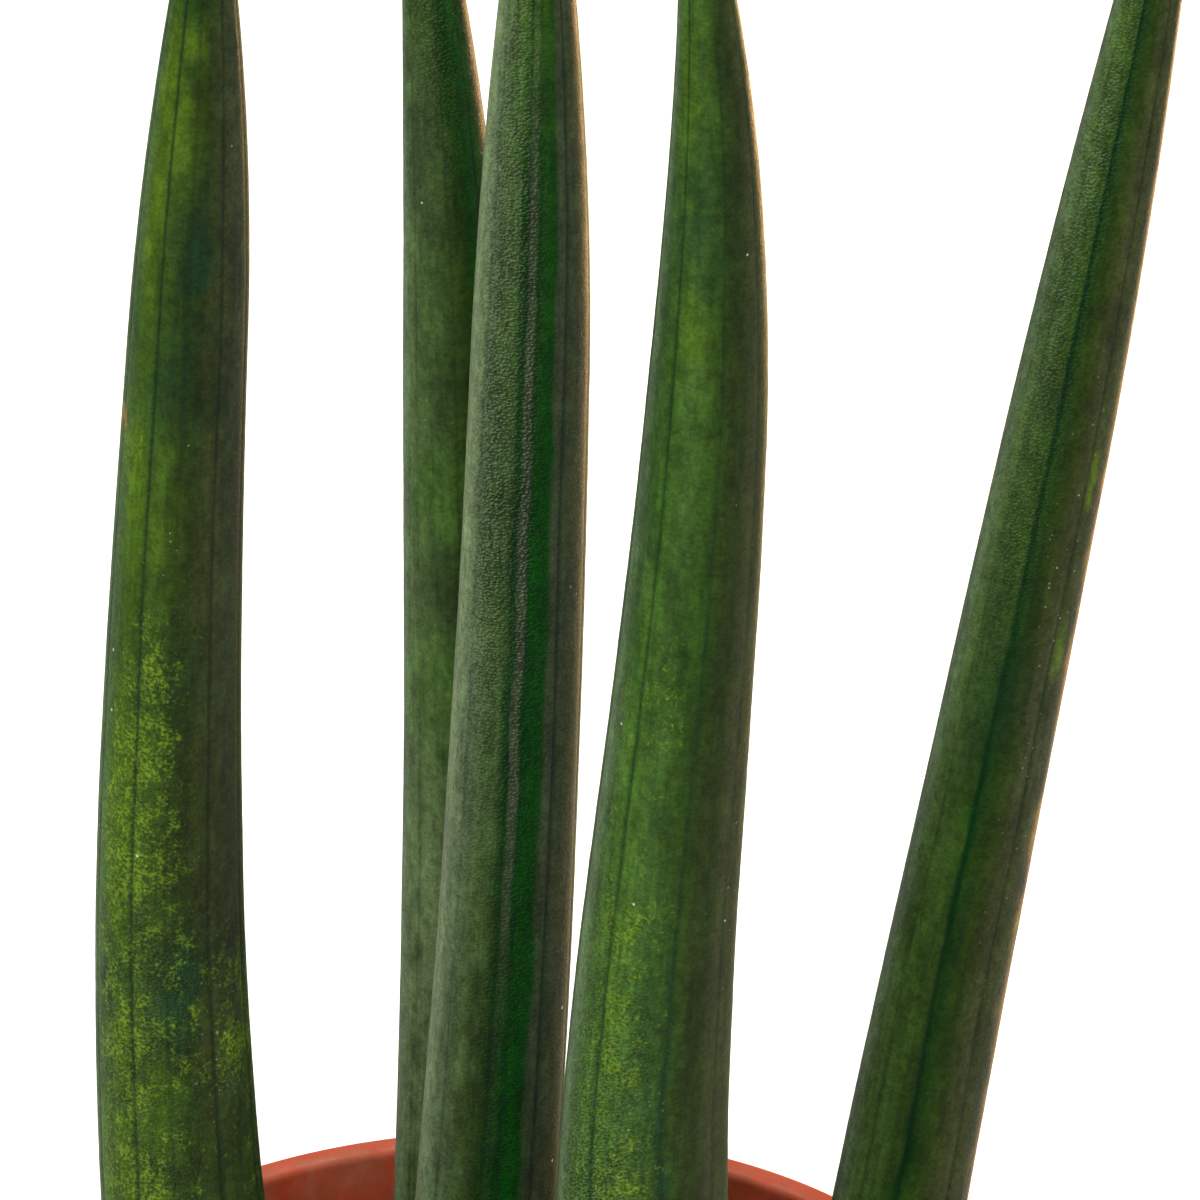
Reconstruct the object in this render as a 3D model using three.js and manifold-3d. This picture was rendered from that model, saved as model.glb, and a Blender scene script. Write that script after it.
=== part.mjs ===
// A potted cylindrical snake plant. Five round, fluted, spear-shaped leaves rise through the potting
// mix of a tapered plastic nursery pot. Each leaf has a papery sheath at its foot and stands on one
// buried, branching rhizome. Loose perlite grains and bark chips lie half sunk in the mix.
// Millimetres, +Z up. The origin is the centre of the pot's underside, on the ground.
import * as THREE from "three";
import { mergeVertices } from "three/addons/utils/BufferGeometryUtils.js";
import Module from "manifold-3d";

const wasm = await Module();
wasm.setup();

// ---- Driving dimensions -------------------------------------------------------------------------

const clearance = 0.3; // between any two pieces that touch

const pot = {
  height: 95,
  rimRadius: 54, // outside of the lip
  baseRadius: 38, // outside of the wall, at the ground
  wall: 1.2,
  lipWidth: 3.7, // top of the lip, from the bore to the outside
  lipRound: 1.0,
  skirtHeight: 12, // the lip turns down this far outside the wall
  skirtTaper: 0.5, // the skirt's foot is this much narrower than the lip
  footHeight: 2, // the floor stands this high between the foot and the centre pad
  footWidth: 6,
  footSlope: 1.5,
  padRadius: 12,
  drainHoles: 6,
  drainHoleRadius: 3.6,
  segments: 40,
};

const mix = {
  headspace: 14, // from the mix up to the lip
  crown: 1.5, // the middle stands this much higher than the edge
  segments: 32,
  topRings: 6,
};
// The waves that make the mix lumpy: length from crest to crest, height, and bearing in degrees.
const mixWaves = [
  { length: 14, height: 0.35, bearing: 20 },
  { length: 17, height: 0.3, bearing: 110 },
  { length: 23, height: 0.4, bearing: -50 },
];

const flutes = 8;
const fluteDepth = 0.045; // share of the leaf's radius
const fluteSharpness = 3; // higher makes a narrower flute
const leafSides = 3 * flutes;
const leafRings = 15;
const ringCrowding = 1.35; // above 1 brings a leaf's rings closer together towards its tip
const tipRadius = 0.35;
const rootDepth = 24; // a leaf's foot goes this far into the mix
const rootNarrowing = 0.35; // share of the radius that a leaf loses from the mix down to its foot

// Each leaf. Its foot is at a bearing from the pot's axis, in degrees from +X, and reach is 0 at the
// axis and 1 against the wall. lean is in degrees from upright, towards +X and +Y.
// bow and sway bend the axis by that many millimetres: bow into one arc, sway into an S along X.
// The shaft narrows from radius towards endRadius, and the last noseLength closes to a point.
// turn sets the flutes, and sheathTurn the side that the papery sheath is on, in degrees from +X.
const leaves = {
  left: {
    bearing: 202,
    reach: 0.85,
    lean: [0.7, -2],
    bow: [-5.2, 2],
    sway: -1.5,
    length: 204,
    radius: 9.9,
    endRadius: 4.5,
    noseLength: 59,
    noseCurve: 2.15,
    turn: 0,
    sheathTurn: 60,
  },
  back: {
    bearing: 102,
    reach: 0.7,
    lean: [-1.5, 5],
    bow: [4, -2],
    sway: -0.6,
    length: 196,
    radius: 7.5,
    endRadius: 5.5,
    noseLength: 98,
    noseCurve: 1.9,
    turn: 10,
    sheathTurn: -120,
  },
  centre: {
    bearing: 124,
    reach: 0.19,
    lean: [2.5, 4],
    bow: [2.1, 1.5],
    sway: 0,
    length: 200,
    radius: 8.4,
    endRadius: 5.2,
    noseLength: 72,
    noseCurve: 2.05,
    turn: -3,
    sheathTurn: -60,
  },
  front: {
    bearing: -45,
    reach: 0.7,
    lean: [-0.1, -2.5],
    bow: [0.9, -2],
    sway: -3.5,
    length: 210,
    radius: 10.7,
    endRadius: 3.9,
    noseLength: 76,
    noseCurve: 2.25,
    turn: 7,
    sheathTurn: 110,
  },
  right: {
    bearing: 4,
    reach: 1,
    lean: [9.5, 4],
    bow: [-0.4, -2],
    sway: -0.4,
    length: 214,
    radius: 8,
    endRadius: 4.2,
    noseLength: 100,
    noseCurve: 2.25,
    turn: -9,
    sheathTurn: 170,
  },
};

const sheath = {
  thickness: 0.5,
  halfSpan: 72, // degrees either side of its middle
  rise: 12, // its middle, above the mix
  edgeRise: 1.5, // its two edges, above the mix
  depth: 4, // below the mix
};

const rhizome = {
  radius: 4,
  knotRadius: 5, // under each leaf
  sag: 2.5, // a branch dips this far between its knots
  sides: 8,
  rings: 6,
  branches: [
    ["centre", "left"],
    ["centre", "back"],
    ["centre", "front"],
    ["front", "right"],
  ],
  rootRadius: 1.1,
  rootEndRadius: 0.5,
  rootLength: 24,
  rootSpread: 7,
};

// Loose pieces on the mix: sunk is the share of their height that lies below its surface.
const perlite = { count: 12, radius: 2.1, sunk: 0.35 };
const bark = { count: 9, length: 7.6, width: 4.5, thickness: 2.4, sunk: 0.3 };
const litterGap = 0.8; // between loose pieces, and from them to leaves and wall
const litterTilt = 7; // most that a loose piece leans either way, in degrees
const litterUnevenness = 0.28; // most that a corner is drawn in, as a share of its distance out

// ---- Sizes worked out from them -----------------------------------------------------------------

const radians = THREE.MathUtils.degToRad;
const slopeOf = (degrees) => Math.tan(radians(degrees));

const mixHeight = pot.height - mix.headspace;
const floorTop = pot.footHeight + pot.wall;
const boreRadius = pot.rimRadius - pot.lipWidth;
const boreSlope = (boreRadius - (pot.baseRadius - pot.wall)) / pot.height;
const boreRadiusAt = (z) => boreRadius - (pot.height - z) * boreSlope;
const wallRadiusAt = (z) => boreRadiusAt(z) + pot.wall;

// Where a leaf's axis meets the mix. At reach 1 its sheath just clears the wall, up to the lip.
function footOf(leaf) {
  const leanSlope = Math.hypot(slopeOf(leaf.lean[0]), slopeOf(leaf.lean[1]));
  const overhang = mix.headspace * Math.max(leanSlope - boreSlope, 0);
  const thickness = leaf.radius + sheath.thickness + 2 * clearance;
  const r = leaf.reach * (boreRadiusAt(mixHeight) - thickness - overhang);
  const bearing = radians(leaf.bearing);
  return new THREE.Vector3(
    r * Math.cos(bearing),
    r * Math.sin(bearing),
    mixHeight,
  );
}

// ---- Materials ----------------------------------------------------------------------------------

const finish = (color, roughness) =>
  new THREE.MeshStandardMaterial({ color, roughness, metalness: 0 });
const materials = {
  pot: finish(0xa9512f, 0.42),
  mix: finish(0x3a2a20, 0.95),
  leaf: finish(0x2f5128, 0.5),
  sheath: finish(0xa98d66, 0.8),
  rhizome: finish(0xc9a878, 0.7),
  perlite: finish(0xe9e6df, 0.9),
  bark: finish(0x6d4a30, 0.9),
};

// ---- Geometry and solids ------------------------------------------------------------------------

// A geometry that keeps only its positions, with shared vertices merged.
function mergedOf(geometry) {
  const bare = new THREE.BufferGeometry();
  bare.setIndex(geometry.index);
  bare.setAttribute("position", geometry.getAttribute("position"));
  return mergeVertices(bare, 1e-4);
}

// A closed geometry as a manifold-3d solid.
function solidOf(geometry) {
  const merged = mergedOf(geometry);
  return new wasm.Manifold(
    new wasm.Mesh({
      numProp: 3,
      vertProperties: new Float32Array(merged.attributes.position.array),
      triVerts: new Uint32Array(merged.index.array),
    }),
  );
}

function geometryOf(solid) {
  const { vertProperties, triVerts } = solid.getMesh();
  const geometry = new THREE.BufferGeometry();
  geometry.setAttribute(
    "position",
    new THREE.BufferAttribute(vertProperties, 3),
  );
  geometry.setIndex(new THREE.BufferAttribute(triVerts, 1));
  geometry.computeVertexNormals();
  return geometry;
}

// Moves every vertex of a geometry, as place(vertex, index) changes it.
function reshape(geometry, place) {
  const position = geometry.getAttribute("position");
  const vertex = new THREE.Vector3();
  for (let i = 0; i < position.count; i++) {
    vertex.fromBufferAttribute(position, i);
    place(vertex, i);
    position.setXYZ(i, vertex.x, vertex.y, vertex.z);
  }
  geometry.computeVertexNormals();
  return geometry;
}

// The point at t on an axis, with two directions across it. The angle of a section runs from
// along to over, and along lies as near to the reference direction as the axis allows.
function frameAt(axis, t, reference) {
  const step = 1e-3;
  const tangent = axis(t + step)
    .sub(axis(t - step))
    .normalize();
  const over = new THREE.Vector3().crossVectors(tangent, reference).normalize();
  const along = new THREE.Vector3().crossVectors(over, tangent);
  return { point: axis(t), tangent, along, over };
}

// The point at an angle and a distance from the middle of a frame.
const aroundFrame = ({ point, along, over }, angle, r) =>
  point
    .clone()
    .addScaledVector(along, r * Math.cos(angle))
    .addScaledVector(over, r * Math.sin(angle));

const across = new THREE.Vector3(1, 0, 0);
const upward = new THREE.Vector3(0, 0, 1);

// A closed rod round an axis, from t = 0 to t = 1, larger by grow all round and at both ends.
function rod(shape, grow = 0) {
  const { axis, radius, sides, rings } = shape;
  const { turn = 0, reference = across, ringAt = (t) => t } = shape;
  const tube = new THREE.CylinderGeometry(1, 1, 1, sides, rings);
  return reshape(tube, (vertex) => {
    const end = Math.abs(vertex.y) > 0.5 - 1e-6 ? Math.sign(vertex.y) : 0;
    const t = ringAt(vertex.y + 0.5);
    const angle = Math.atan2(vertex.x, vertex.z) + turn;
    const r = Math.hypot(vertex.x, vertex.z) * (radius(t, angle) + grow);
    const frame = frameAt(axis, t, reference);
    vertex
      .copy(aroundFrame(frame, angle, r))
      .addScaledVector(frame.tangent, end * grow);
  });
}

// ---- Pot ----------------------------------------------------------------------------------------

// A rounded corner's profile points, on the circle about (x, y) from one angle to another.
function corner(x, y, r, from, to, steps = 2) {
  return Array.from({ length: steps + 1 }, (_, i) => {
    const angle = radians(from + ((to - from) * i) / steps);
    return [x + r * Math.cos(angle), y + r * Math.sin(angle)];
  });
}

// A profile of [radius, height] points turned about the pot's axis.
function turned(profile, segments) {
  const points = profile.map(([r, z]) => new THREE.Vector2(r, z));
  return new THREE.LatheGeometry(points, segments).rotateX(Math.PI / 2);
}

function potSolid() {
  const round = pot.lipRound;
  const footInner = pot.baseRadius - pot.footWidth;
  const skirtFoot = pot.height - pot.skirtHeight;
  const skirtRadius = pot.rimRadius - pot.skirtTaper;
  const lipUnderside = pot.height - pot.wall;
  const lipCentre = pot.height - round;
  const shell = turned(
    [
      [0, 0],
      [pot.padRadius, 0],
      [pot.padRadius + pot.footSlope, pot.footHeight],
      [footInner - pot.footSlope, pot.footHeight],
      [footInner, 0],
      ...corner(pot.baseRadius - round, round, round, -90, 0),
      [wallRadiusAt(lipUnderside), lipUnderside],
      [pot.rimRadius - pot.wall, lipUnderside],
      [skirtRadius - pot.wall, skirtFoot],
      [skirtRadius, skirtFoot],
      ...corner(pot.rimRadius - round, lipCentre, round, 0, 90),
      ...corner(boreRadius + round, lipCentre, round, 90, 180),
      [boreRadiusAt(floorTop), floorTop],
      [0, floorTop],
    ],
    pot.segments,
  );
  const holeRing = (pot.padRadius + footInner) / 2;
  const drill = new THREE.CylinderGeometry(
    pot.drainHoleRadius,
    pot.drainHoleRadius,
    4 * floorTop,
    12,
  )
    .rotateX(Math.PI / 2)
    .translate(holeRing, 0, 0);
  let solid = solidOf(shell);
  for (let i = 0; i < pot.drainHoles; i++) {
    const angle = (2 * Math.PI * (i + 0.5)) / pot.drainHoles;
    solid = solid.subtract(solidOf(drill.clone().rotateZ(angle)));
  }
  return solid;
}

// ---- Leaves -------------------------------------------------------------------------------------

// A leaf's axis and girth, from its foot: s is 0 where the axis meets the mix and the leaf's length
// at its tip. Below the mix the axis runs on straight and the girth narrows to the rhizome.
function leafShape(leaf) {
  const direction = new THREE.Vector3(
    slopeOf(leaf.lean[0]),
    slopeOf(leaf.lean[1]),
    1,
  ).normalize();
  const swayPeak = 6 * Math.sqrt(3); // brings the largest value of u (1 - u) (1 - 2u) to 1
  const axis = (s) => {
    const u = s / leaf.length;
    const bent = Math.max(u, 0);
    const bow = 4 * u * (1 - bent);
    const sway = swayPeak * u * (1 - bent) * (1 - 2 * bent);
    return direction
      .clone()
      .multiplyScalar(s)
      .addScaledVector(across, leaf.bow[0] * bow + leaf.sway * sway)
      .add(new THREE.Vector3(0, leaf.bow[1] * bow, 0));
  };
  const girth = (s) => {
    if (s < 0) return leaf.radius * (1 + (rootNarrowing * s) / rootDepth);
    const taper = ((leaf.endRadius - leaf.radius) * s) / leaf.length;
    const pastNose = Math.max(1 - (leaf.length - s) / leaf.noseLength, 0);
    const closing = 1 - Math.min(pastNose, 1) ** leaf.noseCurve;
    return Math.max((leaf.radius + taper) * closing, tipRadius);
  };
  return { axis, girth };
}

// A rod along part of a leaf, from s = -rootDepth up to s = top.
function leafStretch(leaf, top) {
  const { axis, girth } = leafShape(leaf);
  const sAt = (t) => t * (top + rootDepth) - rootDepth;
  return {
    sides: leafSides,
    turn: radians(leaf.turn),
    axis: (t) => axis(sAt(t)),
    radius: (t) => girth(sAt(t)),
  };
}

// The whole leaf, from its foot on the rhizome to its tip.
function leafGeometry(leaf) {
  const plain = leafStretch(leaf, leaf.length);
  return rod({
    ...plain,
    rings: leafRings,
    ringAt: (t) => 1 - (1 - t) ** ringCrowding,
    radius: (t, angle) => {
      const wave = (1 + Math.cos(flutes * (angle - plain.turn))) / 2;
      return plain.radius(t) * (1 - fluteDepth * wave ** fluteSharpness);
    },
  });
}

// The room that a leaf takes in the mix, up through the surface.
function leafRoom(leaf) {
  const lumps = mixWaves.reduce((sum, wave) => sum + wave.height, 0);
  const top = mix.crown + lumps + leaf.radius * slopeOf(20);
  return rod({ ...leafStretch(leaf, top), rings: 3 }, clearance);
}

// A papery sheath that hugs the foot of a leaf. With grow, it is the room that the sheath takes in
// the mix, which opens into the leaf's own room.
function sheathGeometry(leaf, grow = 0) {
  const { axis, girth } = leafShape(leaf);
  const middle = radians(leaf.sheathTurn);
  const halfSpan = radians(sheath.halfSpan) + grow / leaf.radius;
  const low = -sheath.depth - grow;
  const innerGap = grow > 0 ? -leaf.radius / 5 : clearance;
  const outerGap = clearance + sheath.thickness + grow;
  return reshape(new THREE.BoxGeometry(1, 2, 1, 1, 8, 3), (vertex) => {
    const share = vertex.y;
    const arch = (sheath.rise - sheath.edgeRise) * (1 - share ** 2);
    const high = sheath.edgeRise + arch + grow;
    const s = low + (high - low) * (vertex.z + 0.5);
    const r = girth(s) + (vertex.x > 0 ? outerGap : innerGap);
    const frame = frameAt(axis, s, across);
    vertex.copy(aroundFrame(frame, middle + share * halfSpan, r));
  });
}

// ---- Rhizome ------------------------------------------------------------------------------------

// The middle of the knot that a leaf stands on.
function knotOf(leaf) {
  const { axis } = leafShape(leaf);
  return footOf(leaf)
    .add(axis(-rootDepth))
    .addScaledVector(upward, -rhizome.knotRadius - clearance);
}

function branchRod(from, to) {
  const a = knotOf(leaves[from]);
  const b = knotOf(leaves[to]);
  return {
    sides: rhizome.sides,
    rings: rhizome.rings,
    reference: upward,
    axis: (t) => {
      const dip = rhizome.sag * Math.sin(Math.PI * t);
      return a.clone().lerp(b, t).addScaledVector(upward, -dip);
    },
    radius: () => rhizome.radius,
  };
}

// A root that goes down from a leaf's knot, spreading to one side and keeping to the wall's slope.
function rootRod(leaf, side) {
  const knot = knotOf(leaf);
  const outward = new THREE.Vector3(knot.x, knot.y, 0).normalize();
  const sideways = new THREE.Vector3(-outward.y, outward.x, 0);
  return {
    sides: 5,
    rings: 3,
    axis: (t) =>
      knot
        .clone()
        .addScaledVector(sideways, side * rhizome.rootSpread * t ** 2)
        .addScaledVector(outward, -boreSlope * rhizome.rootLength * t)
        .addScaledVector(upward, -rhizome.rootLength * t),
    radius: (t) =>
      THREE.MathUtils.lerp(rhizome.rootRadius, rhizome.rootEndRadius, t),
  };
}

// Knots, branches and roots as one solid, or with grow, the room that they take in the mix.
function rhizomeSolid(grow = 0) {
  const rods = rhizome.branches.map(([from, to]) => branchRod(from, to));
  for (const leaf of Object.values(leaves)) {
    rods.push(rootRod(leaf, 1), rootRod(leaf, -1));
  }
  const pieces = rods.map((shape) => rod(shape, grow));
  for (const leaf of Object.values(leaves)) {
    const knot = new THREE.SphereGeometry(rhizome.knotRadius + grow, 10, 6);
    pieces.push(knot.rotateX(Math.PI / 2).translate(...knotOf(leaf)));
  }
  return pieces.map(solidOf).reduce((joined, solid) => joined.add(solid));
}

// ---- Potting mix and what lies on it ------------------------------------------------------------

// Height of the mix's surface: a low crown with small lumps.
function mixSurface(x, y) {
  const share = Math.hypot(x, y) / boreRadiusAt(mixHeight);
  const lumps = mixWaves.map(({ length, height, bearing }, i) => {
    const distance =
      x * Math.cos(radians(bearing)) + y * Math.sin(radians(bearing));
    return height * Math.sin((2 * Math.PI * distance) / length + i);
  });
  return lumps.reduce(
    (sum, lump) => sum + lump,
    mixHeight + mix.crown * (1 - share ** 2),
  );
}

// A scattered number from 0 to 1 that is always the same for the same n.
function scattered(n) {
  const x = Math.sin(n * 12.9898 + 4.1414) * 43758.5453;
  return x - Math.floor(x);
}

// Places for round pieces of the given radii on the mix, clear of leaves, sheaths and each other.
function litterSpots(radii) {
  const goldenAngle = Math.PI * (3 - Math.sqrt(5));
  const feet = Object.values(leaves).map((leaf) => ({
    place: footOf(leaf),
    radius: leaf.radius + sheath.thickness + 2 * clearance,
  }));
  const spots = [];
  for (let n = 1; spots.length < radii.length; n++) {
    const radius = radii[spots.length];
    const furthest = boreRadiusAt(mixHeight) - radius - litterGap;
    const r = furthest * Math.sqrt(scattered(n));
    const x = r * Math.cos(n * goldenAngle);
    const y = r * Math.sin(n * goldenAngle);
    const free = [...feet, ...spots].every(
      ({ place, radius: other }) =>
        Math.hypot(x - place.x, y - place.y) > radius + other + litterGap,
    );
    if (free) spots.push({ place: new THREE.Vector3(x, y), radius });
  }
  return spots;
}

// A loose piece with a broken outline, turned and half sunk at its place on the mix.
function loosePiece(name, base, material, { x, y }, height, sunk, seed) {
  const geometry = reshape(mergedOf(base), (vertex, i) => {
    vertex.multiplyScalar(1 - litterUnevenness * scattered(seed * 31 + i));
  });
  const mesh = new THREE.Mesh(geometry, material);
  const tilt = radians(litterTilt);
  mesh.name = name;
  mesh.rotation.set(
    tilt * (2 * scattered(seed + 0.3) - 1),
    tilt * (2 * scattered(seed + 0.6) - 1),
    2 * Math.PI * scattered(seed + 0.9),
  );
  mesh.position.set(x, y, mixSurface(x, y) + (0.5 - sunk) * height);
  mesh.updateMatrix();
  return mesh;
}

function loosePieces() {
  const radii = [
    ...Array(bark.count).fill(Math.hypot(bark.length, bark.width) / 2),
    ...Array(perlite.count).fill(perlite.radius),
  ];
  return litterSpots(radii).map(({ place }, i) => {
    const isBark = i < bark.count;
    const name = isBark
      ? `bark_chip_${i + 1}`
      : `perlite_grain_${i + 1 - bark.count}`;
    const base = isBark
      ? new THREE.BoxGeometry(bark.length, bark.width, bark.thickness, 2, 1, 1)
      : new THREE.IcosahedronGeometry(perlite.radius);
    const height = isBark ? bark.thickness : 2 * perlite.radius;
    const sunk = isBark ? bark.sunk : perlite.sunk;
    const material = isBark ? materials.bark : materials.perlite;
    return loosePiece(name, base, material, place, height, sunk, i);
  });
}

// The room that a loose piece takes in the mix, past its ends by a clearance and a half.
function looseRoom(mesh) {
  mesh.geometry.computeBoundingBox();
  const size = mesh.geometry.boundingBox.getSize(new THREE.Vector3());
  const growth = size.toArray().map((length) => 1 + (3 * clearance) / length);
  return mesh.geometry
    .clone()
    .scale(...growth)
    .applyMatrix4(mesh.matrix);
}

// The mix fills the pot up to its surface, less the room of everything that stands or lies in it.
function mixSolid(litter) {
  const base = floorTop + clearance;
  const edge = boreRadiusAt(mixHeight) - clearance;
  const surface = Array.from({ length: mix.topRings + 1 }, (_, i) => [
    edge * (1 - i / mix.topRings),
    mixHeight,
  ]);
  const body = turned(
    [[0, base], [boreRadiusAt(base) - clearance, base], ...surface],
    mix.segments,
  );
  reshape(body, (vertex) => {
    if (vertex.z > mixHeight - 1e-3) vertex.z = mixSurface(vertex.x, vertex.y);
  });
  const rooms = litter.map(looseRoom);
  for (const leaf of Object.values(leaves)) {
    rooms.push(leafRoom(leaf).translate(...footOf(leaf)));
    rooms.push(sheathGeometry(leaf, clearance).translate(...footOf(leaf)));
  }
  return rooms
    .map(solidOf)
    .reduce(
      (solid, room) => solid.subtract(room),
      solidOf(body).subtract(rhizomeSolid(clearance)),
    );
}

// ---- The plant in its pot -----------------------------------------------------------------------

function named(name, geometry, material) {
  const mesh = new THREE.Mesh(geometry, material);
  mesh.name = name;
  return mesh;
}

const pottedPlant = new THREE.Group();
const litter = loosePieces();
pottedPlant.add(
  named("pot", geometryOf(potSolid()), materials.pot),
  named("potting_mix", geometryOf(mixSolid(litter)), materials.mix),
  named("rhizome", geometryOf(rhizomeSolid()), materials.rhizome),
  ...litter,
);
for (const [name, leaf] of Object.entries(leaves)) {
  const shoot = new THREE.Group();
  shoot.position.copy(footOf(leaf));
  shoot.add(
    named(`leaf_${name}`, leafGeometry(leaf), materials.leaf),
    named(`sheath_${name}`, sheathGeometry(leaf), materials.sheath),
  );
  pottedPlant.add(shoot);
}

export default pottedPlant;
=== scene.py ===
"""Looks of a potted cylindrical snake plant: leaves, sheaths, potting mix, pot and studio.

Lengths are in metres, or in millimetres where a class or a docstring says so. The front is -Y.
"""

import logging
from dataclasses import dataclass, field
from enum import Enum
from itertools import combinations

import bpy
import numpy as np
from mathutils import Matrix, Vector


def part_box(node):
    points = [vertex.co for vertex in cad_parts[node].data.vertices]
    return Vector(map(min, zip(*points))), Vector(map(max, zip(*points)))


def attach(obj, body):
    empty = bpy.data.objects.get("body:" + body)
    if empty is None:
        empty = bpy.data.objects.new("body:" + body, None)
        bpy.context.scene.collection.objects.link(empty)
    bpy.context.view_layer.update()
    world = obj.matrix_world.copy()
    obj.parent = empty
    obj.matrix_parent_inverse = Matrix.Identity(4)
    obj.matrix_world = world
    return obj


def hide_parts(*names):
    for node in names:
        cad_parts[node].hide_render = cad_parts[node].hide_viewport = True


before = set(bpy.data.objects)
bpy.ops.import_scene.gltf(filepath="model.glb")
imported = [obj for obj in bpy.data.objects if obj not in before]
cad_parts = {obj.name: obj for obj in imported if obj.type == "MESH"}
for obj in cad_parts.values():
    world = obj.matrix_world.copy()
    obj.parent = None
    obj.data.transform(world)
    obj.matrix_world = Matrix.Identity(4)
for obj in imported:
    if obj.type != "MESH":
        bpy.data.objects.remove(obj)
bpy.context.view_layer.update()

LOG = logging.getLogger("snake_plant")
MM = 0.001
UP = np.array((0.0, 0.0, 1.0))
PINHOLE = 0.02 * MM
ROOM_OVER_MIX = 14.0 * MM
SOIL_LEVEL = float(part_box("pot")[1][2]) - ROOM_OVER_MIX


# ---- Numbers ------------------------------------------------------------------------------------


def smoothstep(low: float, high: float, value: np.ndarray) -> np.ndarray:
    """Eases from 0 at low to 1 at high.

    Formula: 3 t squared minus 2 t cubed, where t is value's share of the way from low to high.

    Args:
        low: where the result is 0.
        high: where the result is 1.
        value: any array.

    Returns:
        An array of the same shape, from 0 to 1.
    """
    t = np.clip((value - low) / (high - low), 0.0, 1.0)
    return t * t * (3.0 - 2.0 * t)


@dataclass(frozen=True)
class Ripples:
    """A smooth random field: a sum of cosine waves that run in fixed, scattered directions.

    Formula: the mean of cos(2 pi direction . place / length + phase) over the waves, scaled so
    that it mostly lies between -1 and 1. length is a middling wave's, in metres, and the others
    are up to spread times longer or shorter.
    """

    length: float
    seed: int
    waves: int = 14
    spread: float = 1.7

    def at(self, place: np.ndarray) -> np.ndarray:
        """The field at each place.

        Args:
            place: points, with x, y and z in the last axis, in metres.

        Returns:
            One value for each point.
        """
        random = np.random.default_rng(self.seed)
        direction = random.normal(size=(self.waves, 3))
        direction /= np.linalg.norm(direction, axis=1, keepdims=True)
        octave = self.spread ** random.uniform(-1.0, 1.0, size=self.waves)
        turns = 2.0 * np.pi * direction / (self.length * octave)[:, None]
        phase = random.uniform(0.0, 2.0 * np.pi, size=self.waves)
        wave = np.cos(np.tensordot(place, turns.T, axes=1) + phase)
        return wave.mean(axis=-1) * np.sqrt(self.waves / 2.0)


def eased(x: np.ndarray, knots: np.ndarray, values: np.ndarray) -> np.ndarray:
    """A smooth curve through values at knots, read at x.

    Formula: a cubic Hermite curve between each two knots, whose slope at a knot is that of the
    parabola through it and its two neighbours.

    Args:
        x: where to read the curve.
        knots: rising positions.
        values: one row for each knot.

    Returns:
        One row for each x.
    """
    rows = values.reshape(len(knots), -1)
    slope = np.gradient(rows, knots, axis=0, edge_order=2)
    i = np.clip(np.searchsorted(knots, x) - 1, 0, len(knots) - 2)
    span = (knots[i + 1] - knots[i])[:, None]
    t = (x - knots[i])[:, None] / span
    start = (1.0 + 2.0 * t) * (1.0 - t) ** 2 * rows[i] + t * (1.0 - t) ** 2 * span * slope[i]
    end = t**2 * (3.0 - 2.0 * t) * rows[i + 1] + t**2 * (t - 1.0) * span * slope[i + 1]
    return (start + end).reshape((len(x),) + values.shape[1:])


# ---- Meshes -------------------------------------------------------------------------------------


@dataclass
class Sheet:
    """A grid of points with attributes, which becomes one closed or open mesh.

    rows run along the shape and columns around it. A wrapped sheet joins its last column to its
    first, and a capped one closes its first and last rows with a fan about their middles.
    """

    points: np.ndarray
    wrapped: bool = True
    capped: bool = True
    marks: dict[str, np.ndarray] = field(default_factory=dict)

    def faces(self) -> list[tuple[int, ...]]:
        """The faces of the grid, with those of its caps.

        Returns:
            Vertex numbers, counter-clockwise seen from outside.
        """
        rows, columns = self.points.shape[:2]
        index = np.arange(rows * columns).reshape(rows, columns)
        right = np.roll(index, -1, axis=1) if self.wrapped else index[:, 1:]
        left = index if self.wrapped else index[:, :-1]
        quads = np.stack((left[:-1], right[:-1], right[1:], left[1:]), axis=-1)
        found = [tuple(q) for q in quads.reshape(-1, 4).tolist()]
        if self.capped:
            low, high = rows * columns, rows * columns + 1
            found += [(low, b, a) for a, b in zip(left[0].tolist(), right[0].tolist())]
            found += [(high, a, b) for a, b in zip(left[-1].tolist(), right[-1].tolist())]
        return found

    def filled(self, values: np.ndarray) -> np.ndarray:
        """Lays a grid of values out by vertex.

        Args:
            values: one for each point of the grid.

        Returns:
            The same in one row each, with those of the caps' middles after them.
        """
        flat = values.reshape((-1,) + values.shape[2:])
        if not self.capped:
            return flat
        return np.concatenate((flat, values[:1].mean(axis=1), values[-1:].mean(axis=1)))

    def build(self, name: str) -> bpy.types.Object:
        """Makes the mesh object.

        Args:
            name: the piece's name.

        Returns:
            The new object, at the origin, with its place in its mesh.
        """
        piece = mesh_object(name, self.filled(self.points), self.faces())
        for mark, values in self.marks.items():
            paint(piece, mark, self.filled(values))
        return piece


def turned(radius: np.ndarray, height: np.ndarray, turn: np.ndarray) -> np.ndarray:
    """A profile turned about the upright axis.

    Formula: x is radius times the cosine of the angle, y is radius times its sine, z is height.

    Args:
        radius: the profile's distances from the axis.
        height: the profile's heights.
        turn: the angles, in radians.

    Returns:
        A grid of points, with the profile down its rows.
    """
    across = radius[:, None]
    upright = np.repeat(height[:, None], len(turn), axis=1)
    return np.stack((across * np.cos(turn), across * np.sin(turn), upright), axis=-1)


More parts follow.
